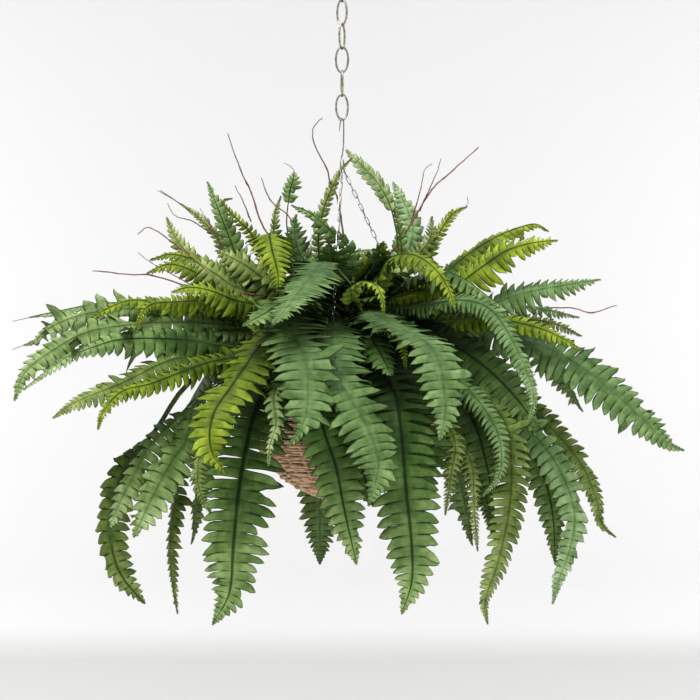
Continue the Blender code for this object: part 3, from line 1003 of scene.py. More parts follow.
@dataclass
class FrondMaker:
    """Lays flat blades along their midlines and gives each its midrib."""

    setting: Setting
    finishes: Finishes
    thickness: float = 0.0005
    fold: float = 0.17
    droop: float = 0.24
    arch: float = 0.30
    pressed: float = 0.35  # how much of the arch is left in the pressed fabric
    rib_rise: float = 0.0010
    stem_radius: float = 0.0017
    tip_radius: float = 0.0004
    edge: float = 0.0012  # the blade's half width at its very tip
    foot_width: float = 0.42  # how wide it is at its foot, against its full width
    widening: float = 3.0  # how fast it comes to its full width
    closing: float = 1.25  # how roundly it narrows to its tip
    crowd_from: float = 0.6  # the share of the blade beyond which leaflets crowd
    wild_share: float = 0.13  # how many leaflets go astray
    tilt: Point = (0.20, 0.12, 0.55)  # what leaflets tilt by, how that varies, and how it varies astray
    lift: Point = (0, 0.09, 0.4)  # the same for their ends' lift
    swing: Point = (0, 0.035, 0.15)  # the same for their swing along the blade
    length_spread: float = 0.05  # how much leaflets differ in length
    breadth: float = 1.01  # how broad they are, as a share of their room
    breadth_spread: float = 0.04
    breadth_limits: tuple[float, float] = (0.70, 1.06)
    held: float = 0.08  # how far out the midrib holds them flat, as a share of the half width
    freeing: float = 0.5  # over how much more of it they come free
    late_sweep: float = 0.09  # how much further ahead they lean at the frond's tip
    sweep_bend: float = 1.3  # how late along a leaflet it leans
    hook: float = 0.75  # how far their ends turn ahead, in half pitches
    wave: float = 0.06  # how deep the whole blade waves
    wave_turn: float = 9  # the angle that the wave goes through over the blade's length
    wave_lead: float = 2.4  # how far the right side's wave is ahead of the left side's
    torn_share: float = 0.03
    torn_length: float = 0.45
    # where along the frond the painted shade of its foot, its middle and the painted light of its tip are set
    shade_stations: tuple[float, ...] = (0.10, 0.60, 0.90)
    variants: int = 2  # how many drawings of the slits there are for each flat blade
    count_step: int = 4  # how finely leaflets are counted
    fewest: int = 8
    rod: Rod = field(default_factory=lambda: Rod(6, 26))

    def make(self, plan: FrondPlan) -> None:
        """Makes one frond.

        Args:
            plan: the frond.
        """
        path = plan.midline(self.setting)
        start, end = path.length * plan.bare_stem, path.length * (1 - plan.bare_tip)
        count = self.count_step * round((end - start) / plan.cut.value.pitch / self.count_step)
        variant = zlib.crc32(plan.name.encode()) % self.variants
        blade = shared_blade(plan.cut, max(self.fewest, count), variant)
        piece = self._lay(plan, blade, path, start, end)
        modify(piece, "SOLIDIFY", thickness=self.thickness, offset=0, material_offset=1)
        thin = (self.stem_radius - self.tip_radius) * (1 - self.rod.share) ** 0.8
        stem = self.rod.bend(f"{plan.name}_stem", path, (self.tip_radius + thin) * plan.stout)
        dress(stem, self.finishes.stem).data.uv_layers[0].name = "Leaflet"
        smooth(piece, 60)
        joined = join([piece, stem], f"{plan.name}_leaves" if plan.drawn else plan.name)
        hand_over(joined, plan.tone.value.slot, *([plan.name] if plan.drawn else []))

    def _half_width(self, plan: FrondPlan, share: Array) -> Array:
        """Returns the blade's half width at each share of its length, from its foot to its tip."""
        rise = np.minimum(1, self.foot_width + self.widening * share)
        return plan.width / 2 * rise * (1 - share**plan.cut.value.taper) ** self.closing + self.edge

    def _lay(self, plan: FrondPlan, blade: Blade, path: Path, start: float, end: float) -> Piece:
        """Shapes the flat blade's leaflets and lays it along the frond's line.

        Args:
            plan: the frond.
            blade: its flat blade.
            path: its line.
            start: where the blade begins along the line.
            end: where it ends.

        Returns:
            The blade as a sheet without thickness.
        """
        rng = draws(plan.name)
        count = blade.leaflets
        size = (2, count)
        wild = (rng.random(size) < self.wild_share * plan.ragged) * math.sqrt(plan.ragged)
        tilt, lift, swing = (
            rng.normal(usual, spread, size) + wild * rng.normal(0, astray, size)
            for usual, spread, astray in (self.tilt, self.lift, self.swing)
        )
        torn = (rng.normal(0, self.length_spread, size) * plan.ragged, rng.random(size) < self.torn_share)
        longer = torn[0] - torn[1] * self.torn_length
        broader = rng.normal(self.breadth - plan.gap, self.breadth_spread, size)
        broader = np.clip(broader, *self.breadth_limits)
        hand = (blade.side > 0).astype(int)
        low, high = (np.clip(side(blade.leaflet), 0, count - 1).astype(int) for side in (np.floor, np.ceil))

        def own(values: Array) -> Array:
            """Returns each vertex's value, halfway between two leaflets where they share it."""
            return (values[hand, low] + values[hand, high]) / 2

        def station(row: Array) -> Array:
            """Finds how far along the blade rows are, which lie closer together towards the tip.

            Args:
                row: the rows, two to a leaflet.

            Returns:
                The distance of each from the blade's foot.
            """
            share = np.clip(row / (2 * count), 0, 1)
            crowded = np.clip(share - self.crowd_from, 0, None) ** 2
            return (end - start) * (share - crowded) / (1 - (1 - self.crowd_from) ** 2)

        out = np.array(blade.cut.columns)[blade.column]
        breadth = np.array(blade.cut.outline)[blade.column]
        centre_row = np.where(blade.shared, blade.row, 2 * np.floor(blade.leaflet) + 1)
        centre = station(centre_row)
        half_pitch = np.maximum(station(centre_row + 1) - station(centre_row - 1), 1e-4) / 2
        middle = centre / (end - start)
        half = self._half_width(plan, np.clip(middle, 0, 1)) * (1 + own(longer) * out)
        loose = np.clip((out - self.held) / self.freeing, 0, 1)
        offset = (station(blade.row) - centre) * breadth
        offset *= np.where(blade.shared, 1, 1 - (1 - own(broader)) * loose)
        turn = blade.row - centre_row
        ahead = blade.cut.sweep + self.late_sweep * middle**3 + own(swing)
        ahead = ahead * half * out**self.sweep_bend
        ahead += self.hook * half_pitch * np.clip((out - 0.5) / 0.5, 0, 1) ** 2
        wave = self.wave * np.sin(middle * self.wave_turn + rng.random() * 6 + hand * self.wave_lead)
        rise = -(self.fold * plan.limp + wave) * half * out
        rise -= (self.droop * plan.limp - own(lift)) * half * out**2
        rise += own(tilt) * turn * half_pitch * loose
        rise -= self.arch * turn**2 * half_pitch * loose * self.pressed
        rise += np.where(blade.column == 0, self.rib_rise, 0)
        points = path.at(start + centre + offset + ahead, blade.side * half * out, rise)
        piece = put_out(blade.mesh, points, plan.name + "_blade")
        dye = plan.tone.value
        # Painted shade and light along the frond: darker at its foot where the fronds above shade it, lighter
        # at its tip, times its own brightness.
        steps = (1.0 if plan.pale_foot else dye.foot, 0.9, dye.tip)
        bright = plan.bright * np.interp(middle, self.shade_stations, steps)
        print_and_shade = np.stack([middle, middle, bright, np.ones(len(middle))], axis=1)[blade.corners]
        print_and_shade[:, 1] = rng.random(size)[blade.corner_side, blade.corner_leaflet]
        place = np.stack([out[blade.corners], blade.corner_across / 2 + 0.5], axis=1)
        piece.data.uv_layers[0].name = "Leaflet"
        write(piece.data.uv_layers[0].data, "uv", place)
        write(piece.data.color_attributes.new("Print", "FLOAT_COLOR", "CORNER").data, "color", print_and_shade)
        # The laid sheet's own side is the lower one; the thickness adds the upper one.
        dress(piece, self.finishes.backs[plan.tone]).data.materials.append(self.finishes.fronts[plan.tone])
        return piece


def frond(
    name: str, tone: Tone, cut: Cut, azimuth: float, lift: float, width: int, face: tuple[float, float],
    *route: Point, drawn: bool = True, **more: float,
) -> FrondPlan:
    """Returns the plan of a frond whose width and route are given in millimetres."""
    return FrondPlan(
        f"frond_{name}" if drawn else f"small_frond_{name}", tone, cut, azimuth, lift, width / 1000, face,
        metres(route), drawn=drawn, **more,
    )


small = partial(frond, drawn=False)  # a frond that only the looks have, because the frame leaves it out
DARK, GREEN, LIME, OLIVE, SAGE, BLUE = Tone
BROAD, COMB, DEEP, MIDDLE, LENS, FINE = Cut

FRONDS = (
    # Left side
    frond("left_level", DARK, MIDDLE, 174, 30, 46, (262, 78), (-130, 0, 98), (-230, 10, 98), (-340, 25, 103),
        (-405, 33, 92), (-477, 42, 77), bare_tip=0.06, pale_foot=True),
    frond("left_pale_upper", SAGE, DEEP, 185, 25, 54, (262, 38), (-130, -10, 80), (-230, -18, 88),
        (-300, -24, 94), (-363, -30, 86), (-405, -34, 70), (-430, -37, 50), (-462, -40, 36), bare_tip=0.04,
        bright=0.85, ragged=3.2),
    frond("left_pale_long", SAGE, DEEP, 203, 8, 54, (262, 30), (-135, -30, 66), (-225, -55, 74),
        (-295, -75, 70), (-350, -92, 60), (-397, -110, 33), (-430, -125, 4), (-442, -135, -33), bright=0.88,
        ragged=3.2),
    frond("left_olive", OLIVE, MIDDLE, 210, 2, 56, (258, 32), (-140, -50, 40), (-185, -65, 28),
        (-232, -85, 23), (-300, -120, -10), (-358, -150, -35), (-384, -171, -55), bright=1.15, ragged=1.6),
    frond("left_lime", LIME, MIDDLE, 222, 14, 36, (262, 30), (-147, -70, 28), (-187, -90, 18),
        (-258, -130, -10), (-294, -155, -20), (-316, -185, -48), (-320, -200, -69)),
    frond("left_curled", OLIVE, BROAD, 184, -2, 46, (262, 8), (-128, -40, 40), (-180, -46, 18),
        (-225, -52, -23), (-255, -57, -70), (-280, -61, -103), (-308, -65, -143), (-320, -68, -200),
        (-319, -71, -235), (-306, -74, -275), (-272, -78, -315), bright=0.92, stout=2.8, bare_stem=0.54,
        gap=0.10),
    frond("left_sage", SAGE, BROAD, 214, -2, 60, (262, 18), (-155, -70, 0), (-200, -85, -33),
        (-213, -100, -88), (-230, -115, -114), (-260, -130, -172), (-279, -149, -216), ragged=1.6,
        bright=0.92, bare_stem=0.50),
    frond("left_edgewise", OLIVE, LENS, 168, 6, 30, (235, 10), (-124, 0, 7), (-166, 0, -35), (-227, 0, -92),
        (-236, -10, -177), (-243, -12, -243), (-240, -14, -290), (-233, -16, -338), bare_stem=0.3),
    # Front
    frond("front_lime", LIME, BROAD, 240, 20, 82, (262, 72), (-60, -120, 70), (-100, -170, 50),
        (-128, -215, 10), (-148, -235, -20), (-162, -255, -43), (-168, -265, -70), (-164, -268, -98),
        (-146, -270, -123), limp=0.5),
    frond("front_left_dark", DARK, DEEP, 236, 6, 104, (262, 40), (-98, -150, -10), (-116, -180, -52),
        (-127, -195, -102), (-135, -200, -152), (-142, -202, -226), (-147, -205, -284), (-169, -205, -325),
        limp=0.4, gap=0.10),
    frond("front_mid", GREEN, BROAD, 258, 42, 94, (270, 76), (-55, -130, 90), (-67, -200, 68),
        (-46, -270, 22), (-42, -290, -15), (-45, -300, -52), (-56, -302, -73), (-68, -303, -87), limp=0.25,
        bright=0.88, gap=0.10),
    frond("front_long", GREEN, BROAD, 256, 26, 94, (270, 72), (-10, -130, 72), (-13, -200, 49), (-7, -250, 6),
        (13, -275, -29), (35, -290, -67), (47, -297, -108), (42, -299, -139), (34, -300, -161), limp=0.35,
        bright=0.85, gap=0.10),
    frond("front_under", DARK, BROAD, 244, 14, 72, (266, 45), (-22, -150, 0), (-25, -200, -60),
        (-7, -212, -118), (4, -218, -173), (20, -220, -244), limp=0.4, bright=1.05, gap=0.10),
    frond("front_dark", DARK, DEEP, 290, 8, 90, (274, 45), (50, -150, 15), (71, -190, -24), (79, -220, -82),
        (84, -235, -145), (91, -240, -216), (91, -240, -265), (78, -240, -306), limp=0.4, gap=0.10),
    frond("front_top", GREEN, COMB, 240, 67, 84, (265, 70), (-22, -120, 155), (-48, -200, 121),
        (-71, -265, 87), (-87, -298, 66), limp=0.3, bright=0.9),
    frond("front_right", GREEN, BROAD, 294, 44, 80, (280, 72), (59, -170, 74), (86, -210, 59),
        (112, -245, 43), (126, -265, 16), (131, -280, -21), (132, -283, -47), (125, -286, -79), limp=0.35,
        bright=0.92, gap=0.10),
    # Right side
    frond("right_blue", BLUE, BROAD, 338, 14, 47, (282, 14), (123, -50, 36), (192, -60, -13), (260, -68, -75),
        (301, -74, -130), (321, -80, -190), (314, -83, -240), (300, -86, -277), (290, -88, -314), bright=1.3,
        limp=0.5),
    frond("right_olive", OLIVE, MIDDLE, 356, 22, 44, (275, 18), (139, -10, 43), (210, -10, -4),
        (270, -12, -50), (333, -15, -118), (360, -18, -176), (367, -19, -211), (387, -20, -229), bright=0.92),
    frond("right_hanging", OLIVE, MIDDLE, 342, 6, 56, (278, 10), (115, -60, 19), (175, -100, -12),
        (220, -130, -60), (228, -150, -122), (223, -160, -184), (206, -170, -254), (190, -178, -298),
        (194, -180, -328), gap=0.10, bright=1.15),
    frond("right_narrow", OLIVE, FINE, 318, 14, 31, (285, 14), (88, -70, 15), (128, -85, -30),
        (164, -100, -87), (178, -108, -125), (180, -115, -178), (185, -120, -238), bright=1.45, gap=0.2),
    frond("right_long", GREEN, DEEP, 350, 26, 80, (285, 34), (138, -20, 80), (228, -45, 56), (303, -60, 30),
        (363, -78, -13), (416, -90, -62), (450, -96, -95), (469, -100, -102), limp=0.3, gap=0.03, bright=0.9),
    frond("right_front", BLUE, COMB, 322, 38, 34, (280, 30), (114, -100, 97), (162, -140, 103),
        (198, -160, 91), (226, -180, 49), (248, -195, -4), (253, -198, -34), (245, -200, -62), bright=1.1),
    frond("right_rising", GREEN, LENS, 338, 36, 60, (272, 36), (124, -30, 75), (179, -45, 82),
        (220, -55, 104), (261, -63, 117), (308, -74, 125), (357, -83, 133), pale_foot=True, gap=0.12),
    frond("right_lime", LIME, MIDDLE, 330, 41, 62, (272, 40), (88, -40, 112), (157, -55, 126),
        (192, -62, 149), (226, -68, 172), (260, -74, 183), (298, -80, 187), gap=0.03, pale_foot=True,
        bright=1.3),
    # Top
    frond("top_left", DARK, MIDDLE, 180, 52, 34, (255, 20), (-110, 0, 107), (-138, 0, 142), (-160, 0, 195),
        (-180, 0, 246), (-192, 0, 275), pale_foot=True, gap=0.02, bright=1.3),
    frond("top_middle", DARK, LENS, 184, 68, 26, (262, 20), (-63, 20, 164), (-79, 20, 210), (-75, 20, 262),
        (-69, 20, 294), (-83, 20, 304), bare_stem=0.72, bare_tip=0.09, bright=1.4, pale_foot=True),
    frond("top_front", LIME, MIDDLE, 202, 60, 70, (262, 50), (-80, -90, 170), (-96, -140, 193),
        (-92, -175, 168), (-84, -188, 138), (-83, -190, 112), gap=0.03, pale_foot=True),
    frond("top_right", BLUE, MIDDLE, 56, 66, 46, (285, 10), (55, 30, 129), (91, 50, 173), (103, 70, 213),
        (91, 85, 252), (75, 100, 284), pale_foot=True, gap=0.02, bright=1.5),
    # Back
    frond("back_right_long", GREEN, BROAD, 40, 40, 88, (36, 62), (165, 125, 115), (300, 200, 50),
        (373, 233, -60)),
    frond("back_right", DARK, BROAD, 48, 18, 52, (48, 50), (110, 120, 30), (168, 178, -120),
        (200, 206, -265)),
    frond("back_mid_right", GREEN, BROAD, 72, 42, 90, (74, 62), (50, 150, 120), (85, 285, 40),
        (105, 363, -100)),
    frond("back_mid", DARK, BROAD, 98, 16, 90, (98, 50), (-20, 150, 40), (-33, 230, -100), (-36, 257, -300)),
    frond("back_mid_left", OLIVE, BROAD, 122, 42, 88, (121, 62), (-80, 130, 120), (-150, 250, 50),
        (-195, 337, -80)),
    frond("back_left", DARK, BROAD, 148, 18, 62, (148, 50), (-125, 80, 40), (-200, 125, -100),
        (-227, 142, -256)),
)

SMALL_FRONDS = (
    # Left side
    small("left_lime_upper", LIME, LENS, 190, 30, 34, (262, 45), (-150, -40, 100), (-240, -45, 100),
        (-292, -50, 105), (-329, -55, 92), (-356, -60, 74), gap=0.02, pale_foot=True),
    small("left_lime_hanging", LIME, FINE, 196, 26, 28, (262, 15), (-176, -60, 102), (-237, -70, 102),
        (-263, -75, 99), (-275, -80, 88), (-284, -85, 63)),
    small("left_pale_under", SAGE, LENS, 200, 6, 34, (255, 60), (-142, -40, 60), (-250, -70, 58),
        (-305, -85, 56), (-350, -100, 42), (-400, -130, 6), (-427, -150, -18)),
    small("left_dark_level", DARK, BROAD, 198, 4, 48, (262, 30), (-111, -50, 33), (-162, -60, 42),
        (-220, -75, 50), (-302, -95, 50), (-346, -108, 37), (-371, -115, 26)),
    small("left_sage_low", SAGE, DEEP, 204, -6, 42, (255, 20), (-135, -50, 5), (-196, -70, -27),
        (-236, -85, -68), (-263, -90, -96), (-284, -100, -136), (-301, -110, -170), (-314, -120, -205),
        bare_stem=0.52),
    small("left_olive_low", OLIVE, FINE, 226, -4, 36, (262, 10), (-114, -60, -23), (-160, -90, -54),
        (-188, -120, -93), (-193, -140, -146), (-173, -150, -189), gap=0.12),
    # Front
    small("front_dark_top", DARK, BROAD, 236, 56, 76, (262, 68), (-43, -130, 106), (-74, -180, 99),
        (-103, -225, 81), (-127, -250, 66), limp=0.5, bright=0.8),
    small("front_light_hanging", SAGE, MIDDLE, 250, 10, 28, (268, 45), (-55, -160, 6), (-83, -210, -10),
        (-88, -235, -29), (-84, -240, -61), (-92, -242, -87), (-94, -245, -114), gap=0.15),
    small("front_bright_arch", LIME, LENS, 300, 52, 22, (270, 70), (14, -160, 102), (14, -190, 118),
        (27, -210, 125), (44, -230, 120), (53, -245, 102), (55, -250, 79)),
    small("front_lime_tip", LIME, FINE, 296, 30, 24, (272, 60), (49, -140, 69), (72, -170, 62),
        (81, -190, 38), (85, -200, 11)),
    # Painted shade: the fronds deep in front of the crown are printed darker, with bright under 1.
    small("front_shadow_leaf", DARK, BROAD, 292, 24, 60, (275, 60), (28, -120, 69), (43, -170, 46),
        (66, -210, 2), bright=0.5),
    small("front_deep_right", DARK, BROAD, 288, 12, 120, (280, 40), (60, -125, 35), (83, -160, -30),
        (98, -170, -110), (100, -172, -180), bright=0.4),
    small("front_deep_middle", DARK, BROAD, 272, 14, 100, (270, 40), (5, -135, 35), (12, -175, -30),
        (25, -180, -110), (40, -178, -170), bright=0.4),
    small("front_deep_left", DARK, BROAD, 248, 16, 90, (262, 45), (-50, -130, 40), (-70, -175, -10),
        (-78, -190, -60), bright=0.45),
    # Right side
    # Painted shade: the inner dark fronds on this side are printed darker too.
    small("right_dark_inner", DARK, BROAD, 330, 16, 78, (280, 24), (109, -60, 63), (169, -90, 33),
        (222, -110, -12), (268, -130, -70), bright=0.55),
    small("right_light_narrow", BLUE, FINE, 316, 18, 32, (268, 20), (120, -120, 29), (158, -150, -5),
        (189, -175, -41), (209, -190, -83), (208, -200, -128), (185, -210, -156)),
    small("right_dark_low", DARK, BROAD, 338, 0, 52, (270, 10), (160, -20, -14), (230, -30, -63),
        (276, -36, -126), (294, -44, -188), (298, -50, -262), bright=0.8),
    small("right_olive_low", OLIVE, FINE, 308, 4, 30, (272, 14), (80, -80, 1), (123, -110, -35),
        (153, -130, -86), (148, -140, -132), (139, -150, -186), gap=0.2, bright=1.35),
    small("right_dark_edgewise", DARK, COMB, 322, 2, 44, (285, 10), (95, -40, 1), (144, -55, -48),
        (173, -65, -93), (195, -70, -147), (212, -80, -230), bright=0.65),
    small("right_dark_gap", DARK, BROAD, 326, 8, 66, (276, 16), (122, -60, 22), (155, -90, -19),
        (182, -100, -67), (198, -105, -121), (205, -110, -168), bright=0.45),
    small("right_fringe_upper", GREEN, FINE, 350, 20, 32, (272, 40), (139, 0, 85), (224, 0, 98), (281, 0, 94),
        (338, 0, 82), gap=0.10),
    small("right_fringe_lower", OLIVE, FINE, 352, 14, 34, (272, 34), (138, -20, 71), (250, -25, 78),
        (295, -28, 74), (338, -30, 55), gap=0.12),
    small("right_lime_level", LIME, MIDDLE, 344, 18, 36, (272, 30), (137, -40, 75), (219, -70, 77),
        (279, -90, 63), (327, -100, 37)),
    small("right_lime_upper", LIME, MIDDLE, 6, 44, 40, (270, 60), (112, 20, 121), (155, 30, 153),
        (192, 40, 181), (236, 48, 205), (280, 54, 218), (301, 58, 208), gap=0.03, pale_foot=True),
    small("right_bright_arch", LIME, LENS, 312, 46, 40, (275, 50), (50, -100, 131), (65, -130, 159),
        (94, -160, 163), (120, -180, 147), (139, -190, 121), (150, -200, 89)),
    small("right_sprig", LIME, FINE, 10, 62, 20, (268, 20), (83, 30, 148), (119, 20, 169), (137, 15, 200),
        (151, 10, 222), (165, 5, 235), (179, 0, 241), (178, 0, 254), bare_stem=0.3, bare_tip=0.06,
        pale_foot=True, bright=1.7),
    small("right_sprig_base", OLIVE, FINE, 12, 58, 32, (268, 20), (83, 20, 153), (112, 15, 176),
        (127, 10, 198), (128, 0, 226), gap=0.15, pale_foot=True, bright=1.5),
    # Top
    small("top_curl_right", SAGE, MIDDLE, 330, 74, 22, (266, 20), (68, -20, 134), (79, -25, 176),
        (75, -28, 211), (65, -30, 246), (49, -37, 272), (28, -45, 294), (6, -50, 315), bare_stem=0.62,
        pale_foot=True, gap=0.02, bright=1.5),
    small("top_stem_leaf", OLIVE, FINE, 350, 68, 14, (250, 10), (82, -10, 160), (81, -15, 202),
        (69, -20, 255), bright=1.3, pale_foot=True),
    small("top_pale_leaning", OLIVE, FINE, 150, 76, 18, (268, 10), (-28, 10, 142), (-34, 8, 192),
        (-26, 5, 238), (-13, 2, 270), (0, 0, 294), (13, 0, 308), gap=0.10, bright=1.5, pale_foot=True),
    small("top_lime_sprig", LIME, FINE, 172, 60, 20, (266, 20), (-96, 30, 143), (-129, 30, 201),
        (-154, 30, 227), (-168, 30, 241), (-172, 30, 250), (-158, 30, 254), gap=0.20),
    small("top_pale_olive", OLIVE, LENS, 172, 44, 40, (262, 30), (-125, 30, 119), (-182, 30, 150),
        (-218, 30, 172), (-238, 30, 194), (-253, 30, 227), gap=0.12, bright=1.6, pale_foot=True),
    small("top_narrow_olive", OLIVE, FINE, 168, 50, 22, (240, 20), (-133, 50, 120), (-165, 50, 163),
        (-184, 50, 202), (-206, 50, 227), (-235, 50, 248), (-268, 50, 267), bare_tip=0.12, bright=1.6,
        pale_foot=True),
    small("top_green", GREEN, LENS, 202, 72, 44, (262, 20), (-53, 40, 162), (-65, 38, 187), (-69, 35, 211),
        (-66, 30, 231), bright=1.15, pale_foot=True),
    small("top_arch_right", DARK, LENS, 110, 76, 36, (262, 50), (11, -20, 134), (11, -23, 176),
        (-24, -27, 211), (-48, -29, 230), (-71, -30, 239), gap=0.04, pale_foot=True),
    small("top_olive_strip", OLIVE, FINE, 190, 62, 20, (240, 10), (-81, 15, 161), (-96, 10, 193),
        (-96, 5, 228), (-87, 0, 255), bright=1.3, pale_foot=True),
    small("top_olive_left", OLIVE, LENS, 184, 40, 64, (262, 40), (-149, -40, 124), (-181, -43, 145),
        (-201, -45, 157), (-221, -50, 158), bright=1.3, ragged=1.8, pale_foot=True),
    small("top_lime_left", LIME, LENS, 186, 36, 40, (262, 36), (-172, -10, 125), (-208, -12, 146),
        (-243, -15, 157), (-276, -20, 144)),
    small("top_lime_left_upper", LIME, LENS, 180, 42, 34, (262, 36), (-174, 10, 144), (-210, 10, 164),
        (-245, 10, 172), (-275, 10, 164), gap=0.12),
    small("top_left_yellow", LIME, LENS, 192, 34, 50, (262, 36), (-148, -60, 105), (-179, -70, 117),
        (-209, -80, 122), (-234, -90, 115)),
    small("top_cluster_left", OLIVE, LENS, 200, 52, 62, (262, 36), (-101, -30, 130), (-131, -34, 152),
        (-156, -37, 166), (-177, -40, 175), bright=1.3, ragged=1.8, pale_foot=True),
    small("top_centre_arch", DARK, LENS, 290, 66, 30, (268, 70), (36, -60, 140), (50, -85, 165),
        (36, -105, 172), (12, -120, 165)),
    small("top_centre_olive", OLIVE, LENS, 306, 62, 46, (270, 60), (50, -80, 139), (69, -100, 161),
        (95, -120, 155), (122, -140, 130)),
)


@dataclass(frozen=True)
class Tier:
    """A ring of fronds that fill the bush."""

    name: str
    count: int
    lift: float  # the elevation of their stems
    reach: float  # how far out their tips lie
    crest: float  # how high they rise halfway
    height: float  # how high their tips lie
    width: float
    first: float  # the first one's azimuth
    tones: tuple[Tone, ...] = (DARK, GREEN, OLIVE, DARK, OLIVE, GREEN, LIME)
    # how bright the ring's print is: under 1 is painted shade for the rings deep in the bush
    bright: float = 1.0


# The core and heart rings stand deep in the bush: mostly dark dye, with painted shade at 0.6.
HEART_TONES = (DARK, DARK, GREEN)
TIERS = (
    Tier("core", 9, 34, 0.115, 0.105, 0.082, 0.080, 10, HEART_TONES, 0.6),
    Tier("inner", 10, 68, 0.105, 0.150, 0.175, 0.066, 12),
    Tier("upper", 12, 50, 0.215, 0.145, 0.105, 0.078, 3),
    Tier("heart", 13, 30, 0.160, 0.085, 0.030, 0.080, 9, HEART_TONES, 0.6),
    Tier("lower", 10, 22, 0.265, 0.050, -0.110, 0.086, 20),
)


@dataclass
class FernBush:
    """All the fronds, and the moulded crown that they are pushed into."""

    setting: Setting
    finishes: Finishes
    crest_at: float = 0.62  # the share of its reach at which a filling frond is highest
    fill_face: float = 62
    turn_spread: float = 4  # how far a filling frond is from its place in the ring, in degrees
    lift_spread: float = 4  # how its elevation varies
    bend_spread: float = 8  # and its tip's azimuth
    reach_spread: float = 0.1
    tip_spread: float = 0.012
    front_limit: float = -0.6  # the sine of the azimuth under which a filling frond stands in front
    low_limit: float = -0.2  # the sine under which the lowest ring has no frond
    front_size: float = 0.75  # how wide those in front are, against the others
    mound_share: float = 0.96
    mound_floor: float = 0.0102
    mound_lumps: float = 0.02
    pick_tip: float = 0.0015
    pick_top: float = 0.009

    def build(self) -> None:
        """Makes the crown and every frond."""
        maker = FrondMaker(self.setting, self.finishes)
        for plan in (*FRONDS, *SMALL_FRONDS, *self.fillers()):
            maker.make(plan)
        self.make_crown()

    def fillers(self) -> Iterator[FrondPlan]:
        """Plans the fronds that fill the middle and the back.

        Yields:
            One plan after another, ring by ring.
        """
        for tier in TIERS:
            rng = draws(f"ring {tier.name}")
            for number in range(tier.count):
                azimuth = tier.first + 360 * number / tier.count + rng.normal(0, self.turn_spread)
                lift, swing, far = rng.normal(0, 1, 3)
                back = math.sin(math.radians(azimuth))
                front = back < self.front_limit
                if tier.name == "lower" and back <= self.low_limit or tier.name == "upper" and front:
                    continue
                reach, bend = tier.reach * (1 + self.reach_spread * far), azimuth + self.bend_spread * swing
                half, tip = direction(azimuth, 0) * reach * self.crest_at, direction(bend, 0) * reach
                yield FrondPlan(
                    f"small_frond_{tier.name}_{number + 1}",
                    tier.tones[(number * 3 + tier.count) % len(tier.tones)], MIDDLE if number % 3 else BROAD,
                    azimuth, tier.lift + self.lift_spread * lift,
                    tier.width * (self.front_size if front else 1), (bend, self.fill_face),
                    ((half.x, half.y, tier.crest), (tip.x, tip.y, tier.height + self.tip_spread * lift)),
                    bright=tier.bright, drawn=False,
                )

    def make_crown(self) -> None:
        """Makes the moulded crown: a lumpy mound on its pick."""
        radius = self.setting.crown_radius * self.mound_share
        sphere, cone = bpy.ops.mesh.primitive_uv_sphere_add, bpy.ops.mesh.primitive_cone_add
        place = (0, 0, self.setting.crown_centre)
        mound = begin("crown_mound", sphere, segments=32, ring_count=20, radius=radius, location=place)
        points = coordinates(mound.data)
        points[:, :2] *= 1 + draws("crown").normal(0, self.mound_lumps, (len(points), 1))
        floor = self.setting.rim_height + self.mound_floor
        points[:, 2] = np.maximum(points[:, 2], floor)
        write(mound.data.vertices, "co", points)
        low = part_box("fern_crown")[0].z
        pick = begin(
            "crown_pick", cone, vertices=12, radius1=self.pick_tip, radius2=self.pick_top, depth=floor - low,
            location=(0, 0, (floor + low) / 2),
        )
        crown = join([mound, pick], "fern_crown_stems")
        smooth(crown)
        hand_over(dress(crown, self.finishes.crown), "stem", "fern_crown")


# ---- Twigs ----


@dataclass(frozen=True)
class TwigPlan:
    """One curly twig."""

    name: str
    azimuth: float  # where it points as it leaves the crown
    lift: float  # its elevation there
    routes: tuple[Route, ...]  # the points (x, y, height) that it passes, and those of its side twigs, in mm


TWIGS = (
    TwigPlan("twig_left_tall", 160, 62, (
        ((-60, 20, 150), (-113, 30, 209), (-131, 30, 263), (-144, 32, 288), (-165, 35, 348)),
        ((-131, 30, 220), (-142, 26, 246), (-154, 22, 272)),
    )),
    TwigPlan("twig_middle", 90, 84, (
        ((0, 20, 150), (0, 26, 199), (-6, 26, 248), (-17, 26, 277), (-23, 24, 298), (-41, 22, 334),
        (-41, 20, 355), (-28, 20, 368)),
    )),
    TwigPlan("twig_right_tall", 5, 68, (
        ((50, 0, 150), (86, -10, 195), (128, -16, 263), (146, -18, 280), (193, -20, 322)),
        ((98, -12, 215), (112, -10, 262), (116, -8, 290), (128, -6, 300)),
        ((110, -13, 232), (134, -20, 286), (140, -24, 306)),
    )),
    TwigPlan("twig_left_low", 160, 46, (
        ((-80, 30, 112), (-145, 45, 107), (-237, 60, 131), (-285, 65, 145), (-305, 66, 145), (-365, 70, 151)),
    )),
    TwigPlan("twig_left_middle", 190, 48, (
        ((-80, -24, 112), (-155, -40, 121), (-213, -45, 166), (-236, -45, 185), (-270, -46, 207),
        (-285, -48, 197)),
        ((-150, -39, 116), (-187, -42, 109), (-216, -44, 131), (-266, -46, 159), (-285, -47, 172)),
    )),
    TwigPlan("twig_left_upper", 150, 62, (
        ((-70, 40, 130), (-150, 50, 150), (-176, 52, 192), (-220, 55, 237), (-265, 60, 268)),
        ((-190, 52, 206), (-216, 52, 223), (-244, 52, 231), (-254, 52, 248)),
        ((-150, 50, 150), (-170, 48, 165), (-180, 47, 199), (-206, 45, 241)),
    )),
    TwigPlan("twig_right_low", 6, 44, (
        ((80, 15, 100), (180, 30, 112), (270, 40, 98), (335, 45, 97), (363, 45, 89), (398, 46, 100)),
    )),
    TwigPlan("twig_back", 120, 70, (
        ((-30, 60, 150), (-60, 120, 200), (-85, 160, 240), (-110, 180, 262), (-125, 210, 300)),
    )),
)


